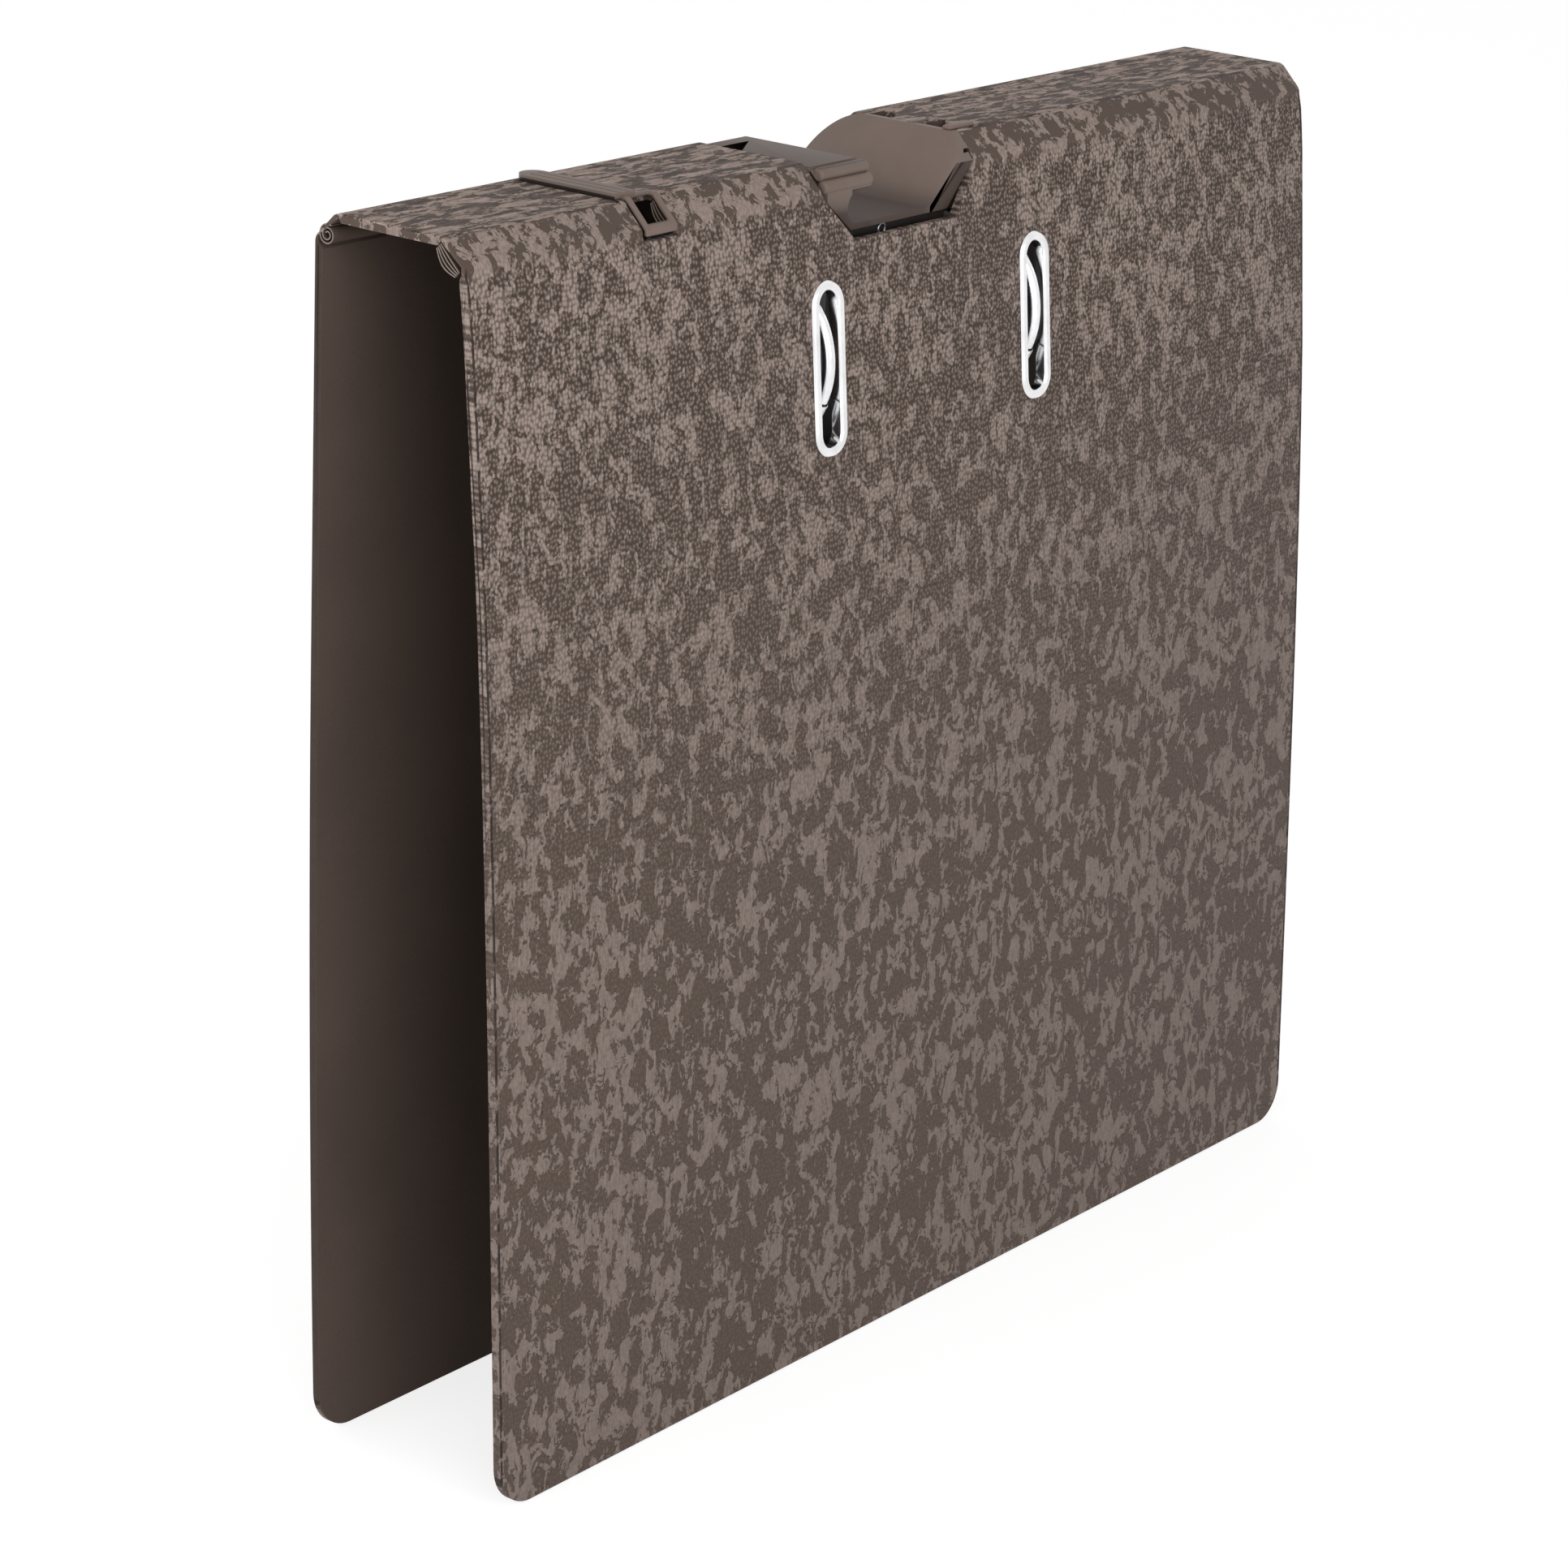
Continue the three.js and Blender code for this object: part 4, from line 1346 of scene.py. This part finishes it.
@dataclass
class Eyelet:
    """A slotted metal eyelet with a rounded outer flange."""

    name: str
    x: float
    width: float = 11.8
    length: float = 41.0
    rim: float = 2.5

    def build(self, finishes: Finishes) -> None:
        """Makes the flange by inset from the outline, and the throat by extruding its edge.

        Args:
            finishes: Where the plating comes from.
        """
        ring = slot_plate(f"{self.name}_rim", self.x, self.width, self.length, 0.05)
        outward = slot_axes()[2]
        pick(ring)
        bpy.ops.object.mode_set(mode="EDIT")
        bpy.ops.mesh.select_mode(type="FACE")
        bpy.ops.mesh.select_all(action="SELECT")
        bpy.ops.mesh.inset(thickness=0.7 * MM, depth=0.0)
        bpy.ops.transform.translate(value=outward * 0.75 * MM)
        bpy.ops.mesh.inset(thickness=(self.rim - 1.3) * MM, depth=0.0)
        bpy.ops.mesh.inset(thickness=0.6 * MM, depth=0.0)
        bpy.ops.transform.translate(value=outward * -0.55 * MM)
        bpy.ops.mesh.extrude_region_move(TRANSFORM_OT_translate={"value": outward * -2.7 * MM})
        bpy.ops.mesh.delete(type="FACE")
        bpy.ops.object.mode_set(mode="OBJECT")
        face_out(ring)
        apply_modifier(ring, "SOLIDIFY", thickness=0.4 * MM, offset=-1.0)
        apply_modifier(ring, "BEVEL", width=0.3 * MM, segments=3, limit_method="ANGLE",
                       angle_limit=math.radians(25))
        finishes.dress(ring, Finish.NICKEL)
        smooth(ring, 60)
        stand_for(ring, Body.FRONT, self.name)


@dataclass
class Hanger:
    """The hook-shaped channel that fills the opening in the spine."""

    lip: Pair = (-38.6, -21.0)
    lip_z: Pair = (278.0, 284.0)
    floor_z: Pair = (268.9, 270.3)
    wall_foot: float = 1.5
    wall_top: float = 17.3
    wall: float = 1.7
    cup_x: float = -26.0
    left: float = -37.5
    flange: Pair = (-47.0, 27.5)
    flange_z: Pair = (281.5, 282.7)
    flange_reach: float = 11.5
    ear: float = 1.6
    back_round: float = 10.0

    def section(self) -> list[Pair]:
        """The channel in front view, with soft inner corners.

        Returns:
            The corners of the outline.
        """
        low, high = self.floor_z
        under, top = self.lip_z
        base, cap = self.flange_z
        radius = (under - high) / 2
        points = [(self.lip[0], top), (self.lip[0] - 0.6, cap), (self.flange[0], cap),
                  (self.flange[0], base), (self.left, base), (self.left, 276.3),
                  (-28.3, low), (self.wall_foot + 0.85, low),
                  (self.wall_top + self.wall - 2.3, base), (self.flange[1], base),
                  (self.flange[1], cap), (self.wall_top + self.wall - 0.4, cap),
                  (self.wall_top + self.wall, HEIGHT), (self.wall_top, HEIGHT)]
        points += [(self.wall_foot + 2.0, high + 1.9), (self.wall_foot + 0.6, high + 0.75),
                   (self.wall_foot - 0.8, high + 0.15), (self.wall_foot - 2.2, high)]
        points += arc((self.cup_x, high + radius), radius, 270, 90, 14)
        points += [(self.lip[1] - 1.8, under)]
        lower, upper = 1.6, 0.9
        points += arc((self.lip[1] - lower, under + lower), lower, 270, 360, 5)[1:]
        points += arc((self.lip[1] - upper, top - upper), upper, 0, 90, 4)
        return points

    def room(self, low: float, high: float) -> Thing:
        """The space inside the folds.

        Args:
            low: Its foot in millimetres.
            high: Its top.

        Returns:
            The trimming tool.
        """
        corners = [(-HALF, low), (HALF, low)]
        centre = (HALF - self.back_round, high - self.back_round)
        corners += arc(centre, self.back_round, 0, 90, 14)
        corners += [(-FLAT_HALF, high), (-HALF, FOLD_Z)]
        path = [at(-100, y, z) for y, z in corners]
        return drawn_out("room", path, Vector((2 * ACROSS, 0, 0)), closed=True)

    def carried(self, name: str, points: Sequence[Pair], start: float, end: float) -> Thing:
        """A front-view outline carried across the spine.

        Args:
            name: The object's name.
            points: The outline's corners.
            start: Where it starts across the spine in millimetres.
            end: Where it ends.

        Returns:
            The object.
        """
        path = [at(x, start, z) for x, z in points]
        return drawn_out(name, path, Vector((0, (end - start) * MM, 0)), closed=True)

    def build(self, finishes: Finishes) -> None:
        """Makes the channel, its ears, ribs, clips, bar, apron and rivet.

        Args:
            finishes: Where the plastic and the zinc come from.
        """
        below, above = 260, HEIGHT + CLEAR
        main = self.carried("hanger_channel", self.section(), -HALF, HALF)
        cut(main, self.room(below, HEIGHT), "INTERSECT")
        for start, end in ((-HALF - 1, -self.flange_reach), (self.flange_reach, HALF + 1)):
            for x0, x1 in ((self.flange[0] - 1, OPENING[0] + 0.6),
                           (OPENING[1] - 0.6, self.flange[1] + 1)):
                cut(main, box("trim", (x0, start, 266), (x1, end, above)))
        ear = [(self.wall_foot, self.floor_z[1]), (self.wall_foot, self.floor_z[0]),
               (8.2, self.floor_z[0]), (17.5, FOLD_Z), (18.0, 283), (self.wall_top - 2, 283)]
        for start, end in ((-HALF, -HALF + self.ear), (HALF - self.ear, HALF)):
            piece = self.carried("ear", ear, start, end)
            cut(piece, self.room(below, HEIGHT), "INTERSECT")
            cut(main, piece, "UNION")
        cut(main, self.pocket())
        cut(main, box("crease", (-43, -17.0, self.flange_z[1]), (self.lip[1] + 1, -16.4, above)))
        round_edges(main, 0.28, 2, 28)
        pieces = [main, self.apron()] + self.ribs() + self.clips()
        whole = joined("hanger_moulding", *pieces)
        finishes.dress(whole, Finish.HANGER)
        smooth(whole, 30)
        stand_for(whole, Body.SPINE, "hanger")
        self.rivet(finishes)

    def pocket(self) -> Thing:
        """The three-cornered pocket at the back of the lip.

        Returns:
            The cutting tool.
        """
        path = [at(x, y, 279.4) for x, y in ((-43, 11.6), (-39.6, 3.0), (-25.6, 11.6))]
        return drawn_out("pocket", path, Vector((0, 0, 8 * MM)), closed=True)

    def apron(self) -> Thing:
        """The plate that hangs under the channel, just inside the cover; the hanger's material
        paints it near-black as the shade in the slit.

        Returns:
            The object.
        """
        outline = [(-29.5, 269.4), (-31.5, 263.5), (11.5, 263.5), (9.5, 269.4)]
        plate = self.carried("apron", outline, -HALF + 2.4, -HALF + 3.4)
        return round_edges(plate, 0.2, 2, 40)

    def rivet(self, finishes: Finishes) -> None:
        """The ring of the rivet in that plate.

        Args:
            finishes: Where the zinc comes from.
        """
        deselect()
        bpy.ops.mesh.primitive_torus_add(
            location=at(-13.7, -HALF + 2.35, 266.9), rotation=(math.radians(90), 0, 0),
            major_radius=1.25 * MM, minor_radius=0.3 * MM, major_segments=32, minor_segments=10,
        )
        ring = settle(bpy.context.object)
        ring.name = "hanger_rivet"
        finishes.dress(ring, Finish.ZINC)
        stand_for(smooth(ring, 60), Body.SPINE)

    def ribs(self) -> list[Thing]:
        """Two rounded ribs across the front end of the lip.

        Returns:
            The two objects.
        """
        found = []
        radius = 1.6
        for i, (y, z) in enumerate(((-18.7, 282.5), (-20.1, 279.8))):
            rib = rod(f"rib_{i}", radius, at(self.lip[0], y, z), at(self.lip[1], y, z))
            found.append(round_edges(rib, radius / 2, 4, 60))
        return found

    def clips(self) -> list[Thing]:
        """The clips in the three-cornered holes, and the bar that lies on the board.

        Returns:
            The three objects.
        """
        found = []
        edge = OPENING[1]
        for i, y in enumerate(CLIP_YS):
            corners = [(self.wall_top + 0.5, y + 4.4), (edge + 1, y + 4.4), (edge + 3, y + 3.4),
                       (edge + 3, y + 2.8), (self.wall_top + 0.5, y + 2.8)]
            path = [at(a, b, 282.2) for a, b in corners]
            clip = drawn_out(f"clip_{i}", path, Vector((0, 0, 3.1 * MM)), closed=True)
            found.append(round_edges(clip, 0.25, 2, 40))
        bar = box("bar", (self.wall_top, -14.2, HEIGHT + 0.03), (27, -11.9, HEIGHT + 1))
        found.append(round_edges(bar, 0.35, 3, 40))
        return found


@dataclass
class Strap:
    """The strap across the spine and the loop that it ends in at the front fold."""

    left: float = -103.6
    right: float = -96.6
    back: float = 15.2
    thick: float = 1.3
    loop: Pair = (-101.2, -90.8)
    rim: float = 1.5
    sunk: float = 0.05

    def build(self, finishes: Finishes) -> None:
        """Makes the strip with its round end, and the bent loop.

        Args:
            finishes: Where the plastic comes from.
        """
        whole = joined("strap_moulding", self.strip(), self.ring())
        finishes.dress(whole, Finish.HANGER)
        smooth(whole, 40)
        stand_for(whole, Body.SPINE, "strap")

    def strip(self) -> Thing:
        """The flat strip, with two shallow grooves along it.

        Returns:
            The object.
        """
        radius = (self.right - self.left) / 2
        middle = (self.left + self.right) / 2
        front = -FLAT_HALF + 1.4
        plan = [(self.left, front), (self.right, front)]
        plan += arc((middle, self.back - radius), radius, 0, 180, 16)
        path = [at(x, y, HEIGHT + self.sunk) for x, y in plan]
        way = Vector((0, 0, (self.thick - self.sunk) * MM))
        piece = drawn_out("strip", path, way, closed=True)
        level = HEIGHT + self.thick + 0.15
        for x in (self.left + 2.2, self.right - 2.2):
            start, end = at(x, front - 2, level), at(x, self.back - 3.5, level)
            cut(piece, rod("groove", 0.4, start, end, 12))
        return round_edges(piece, 0.35, 3, 40)

    def ring(self) -> Thing:
        """The loop: a plate bent over the fold, with a window.

        Returns:
            The object.
        """
        out, back, foot = 0.5, -12.6, 277.8
        corners = [(back, HEIGHT - out), (-FLAT_HALF + 0.25, HEIGHT - out),
                   (-HALF + out, FOLD_Z - 0.25), (-HALF + out, foot), (-HALF - out, foot),
                   (-HALF - out, FOLD_Z + 0.2), (-FLAT_HALF - 0.2, HEIGHT + out),
                   (back, HEIGHT + out)]
        path = [at(self.loop[0], y, z) for y, z in corners]
        way = Vector(((self.loop[1] - self.loop[0]) * MM, 0, 0))
        piece = drawn_out("ring", path, way, closed=True)
        window = box("window", (self.loop[0] + self.rim, -HALF - 5, FOLD_Z + 0.9),
                     (self.loop[1] - self.rim, -FLAT_HALF + 1.4, HEIGHT + CLEAR))
        cut(piece, window)
        return round_edges(piece, 0.35, 3, 30)


@dataclass
class Mechanism:
    """The arch wire, the posts and the finishes of the rest of the lever mechanism.

    The radii, heights and places are those of the CAD nodes. The wire and the posts meet
    at an angle of each arch, with the post ending there and the wire a little past it.
    """

    arch_radius: float = 20.0
    arch_z: float = 239.6
    wire: float = 1.5
    post: float = 1.9
    proud: float = 1.4
    pivot_y: float = 15.0
    meet: float = 65.0
    parting: float = 1.2
    plate_front: float = 17.95
    crank_half: float = 3.5
    crank_drop: float = 11.0
    bend_radius: float = 2.5

    @property
    def arch_y(self) -> float:
        """The arches' centre across the spine, from the front cover's face there."""
        out = FRONT_SHAPE.face(self.arch_z) + self.proud
        return -(out - self.wire - self.arch_radius)

    def round_point(self, x: float, degrees: float) -> Vector:
        """A point of an arch.

        Args:
            x: The arch's place along the spine in millimetres.
            degrees: 0 is level with the post and 180 with the pivot line.

        Returns:
            The point in metres.
        """
        a = math.radians(degrees)
        return at(x, self.arch_y - self.arch_radius * math.sin(a),
                  self.arch_z - self.arch_radius * math.cos(a))

    def build(self, finishes: Finishes) -> None:
        """Makes the round pieces and dresses the CAD nodes of the others.

        Args:
            finishes: Where the platings and the grip's plastic come from.
        """
        self.arch_wire(finishes)
        for x, node in zip(SLOT_XS, ("post_left", "post_right")):
            self.fixed_post(finishes, x, node)
        sheet = ("base_plate", "lever", "lever_pin", "roller", "roller_pin", "leaf_spring")
        rivets = tuple(f"rivet_{end}_{side}" for end in ("top", "foot")
                       for side in ("left", "right"))
        for nodes, finish in ((sheet, Finish.ZINC), (("lever_grip",), Finish.GRIP),
                              (rivets, Finish.NICKEL)):
            for node in nodes:
                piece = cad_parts[node]
                piece.data.materials.clear()
                piece.data.materials.append(finishes.made[finish])

    def arch_wire(self, finishes: Finishes) -> None:
        """The one bent wire: arch, pivot line, crank, pivot line and arch.

        Args:
            finishes: Where the plating comes from.
        """
        steps = 24
        left = SLOT_XS[0]
        pivot_z = self.arch_z + self.arch_radius
        crank_z = pivot_z - self.crank_drop
        first = self.meet + self.parting
        half = [self.round_point(left, first + (180 - first) * i / steps)
                for i in range(steps + 1)]
        corners = [(left, self.pivot_y, pivot_z), (-self.crank_half, self.pivot_y, pivot_z),
                   (-self.crank_half, self.pivot_y, crank_z), (0, self.pivot_y, crank_z)]
        ends = [(half[-1] - at(0, 0, 0)) / MM] + [Vector(c) for c in corners]
        for before, here, after in zip(ends, ends[1:], ends[2:]):
            half += [at(*p) for p in bend(before, here, after, self.bend_radius)]
        half.append(at(*corners[-1]))
        mirrored = [Vector((-p.x, p.y, p.z)) for p in reversed(half[:-1])]
        piece = tube("arch_wire_bright", half + mirrored, self.wire)
        finishes.dress(piece, Finish.NICKEL)
        stand_for(piece, Body.ARCH, "arch_wire")

    def fixed_post(self, finishes: Finishes, x: float, node: str) -> None:
        """A post: shank, bent end and the flange it stands on.

        Args:
            finishes: Where the plating comes from.
            x: Its place along the spine in millimetres.
            node: The CAD node that it replaces.
        """
        foot = at(x, self.plate_front - 0.05, self.arch_z - self.arch_radius)
        path = [foot] + [self.round_point(x, self.meet * i / 10) for i in range(11)]
        shank = tube(f"{node}_shank", path, self.post)
        round_edges(shank, 0.25, 2, 60)
        flange = rod(f"{node}_flange", 3.6, foot, foot - Vector((0, 1.2 * MM, 0)))
        round_edges(flange, 0.4, 3)
        piece = joined(f"{node}_bright", shank, flange)
        finishes.dress(piece, Finish.NICKEL)
        stand_for(piece, Body.BACK, node)


def bend(before: Vector, here: Vector, after: Vector, radius: float) -> list[Vector]:
    """A round bend at a corner of a wire, all in millimetres.

    Args:
        before: The corner before it.
        here: The corner that is rounded.
        after: The corner after it.
        radius: The bend's radius on the wire's middle line.

    Returns:
        The bend's points, or the corner alone where the wire runs straight.
    """
    steps = 6
    into = (here - before).normalized()
    away = (after - here).normalized()
    turn = into.angle(away)
    if turn < 1e-4:
        return [here]
    start = here - into * radius * math.tan(turn / 2)
    centre = here + (away - into).normalized() * radius / math.cos(turn / 2)
    spoke = start - centre
    axis = spoke.cross(into).normalized()
    return [centre + Matrix.Rotation(turn * i / steps, 3, axis) @ spoke
            for i in range(steps + 1)]


@dataclass
class Studio:
    """The camera at the photo's place, plain soft light and a white ground.

    The camera's place, axes and focal length, in pixels of the square photo, come from a
    fit to the photo. The three lamps each have a name, a place, a size and a power.
    """

    place: Point = (-0.8595, -0.64318, 0.4929)
    forward: Point = (0.7483, 0.5787, -0.3242)
    right: Point = (0.6228, -0.7812, 0.0428)
    focal: float = 5746.0
    pixels: float = 1932.0
    sensor: float = 36.0
    ambient: float = 0.52
    ground_glow: float = 1.3
    ground_share: float = 0.6

    def build(self) -> None:
        """Makes the camera, the world, the floor and the lamps."""
        self.camera()
        self.world()
        self.floor()
        for lamp in (("key", (-0.7, -1.3, 0.75), 1.1, 12.0),
                     ("fill", (-1.5, 0.1, 0.5), 1.2, 7.5),
                     ("rear", (-0.5, 1.5, 0.5), 1.2, 7.0)):
            self.lamp(*lamp)

    def camera(self) -> None:
        """A camera turned by its measured axes."""
        data = bpy.data.cameras.new("camera")
        data.sensor_width = self.sensor
        data.lens = self.focal / self.pixels * self.sensor
        data.clip_end = 20
        made = bpy.data.objects.new("camera", data)
        bpy.context.scene.collection.objects.link(made)
        ahead = Vector(self.forward).normalized()
        across = Vector(self.right)
        across = (across - ahead * across.dot(ahead)).normalized()
        up = across.cross(ahead)
        turn = Matrix((across, up, -ahead)).transposed()
        made.matrix_world = Matrix.Translation(self.place) @ turn.to_4x4()
        bpy.context.scene.camera = made

    def world(self) -> None:
        """Soft grey light from all round, and white where the background shows."""
        made = bpy.data.worlds.new("studio")
        bpy.context.scene.world = made
        shader = Shader(made)
        strength = shader.white_rays() * (1.0 - self.ambient) + self.ambient
        shader.set(Color=(1, 1, 1, 1), Strength=strength)

    def floor(self) -> None:
        """A large white ground that still shows a soft shadow of the file."""
        deselect()
        bpy.ops.mesh.primitive_plane_add(size=12, location=(0, 0, -0.0004))
        ground = bpy.context.object
        ground.name = "ground"
        shader = Shader.named("ground_white")
        shader.set(Base_Color=(0.9, 0.9, 0.9, 1), Roughness=0.9)
        white = shader.node("ShaderNodeEmission", {}, {"Strength": self.ground_glow})
        share = shader.white_rays() * self.ground_share
        lit = Wire(shader, shader.surface.outputs[0])
        both = shader.node("ShaderNodeMixShader", {}, {0: share, 1: lit, 2: white})
        out = shader.tree.nodes["Material Output"]
        shader.tree.links.new(both.socket, out.inputs["Surface"])
        ground.data.materials.append(shader.owner)

    def lamp(self, name: str, place: Point, size: float, power: float) -> None:
        """One soft square lamp that looks at the object.

        Args:
            name: The lamp's name.
            place: Where it hangs, in metres.
            size: The length of its sides in metres.
            power: Its power in watts.
        """
        data = bpy.data.lights.new(name, "AREA")
        data.size = size
        data.energy = power
        made = bpy.data.objects.new(name, data)
        bpy.context.scene.collection.objects.link(made)
        made.location = place
        aim = Vector((0, 0, 0.15)) - Vector(place)
        made.rotation_euler = aim.to_track_quat("-Z", "Y").to_euler()


def main() -> None:
    """Builds the sub-assemblies in order."""
    logging.basicConfig(level=logging.INFO, format="%(message)s")
    bpy.context.scene.view_settings.view_transform = "Standard"
    Studio().build()
    finishes = Finishes()
    Cover("front_board", -1, FRONT_SHAPE, Body.FRONT, "front_cover",
          loop=LOOP_ROOM).build(finishes)
    Cover("back_board", 1, BACK_SHAPE, Body.BACK, "back_cover").build(finishes)
    SpineTop("spine_top_left", "spine_left", -LENGTH / 2, OPENING[0]).build(finishes)
    SpineTop("spine_top_right", "spine_right", OPENING[1], LENGTH / 2).build(finishes)
    for name, x in zip(("eyelet_left", "eyelet_right"), SLOT_XS):
        Eyelet(name, x).build(finishes)
    Hanger().build(finishes)
    Strap().build(finishes)
    Mechanism().build(finishes)
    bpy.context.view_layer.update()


if __name__ == "__main__":
    main()
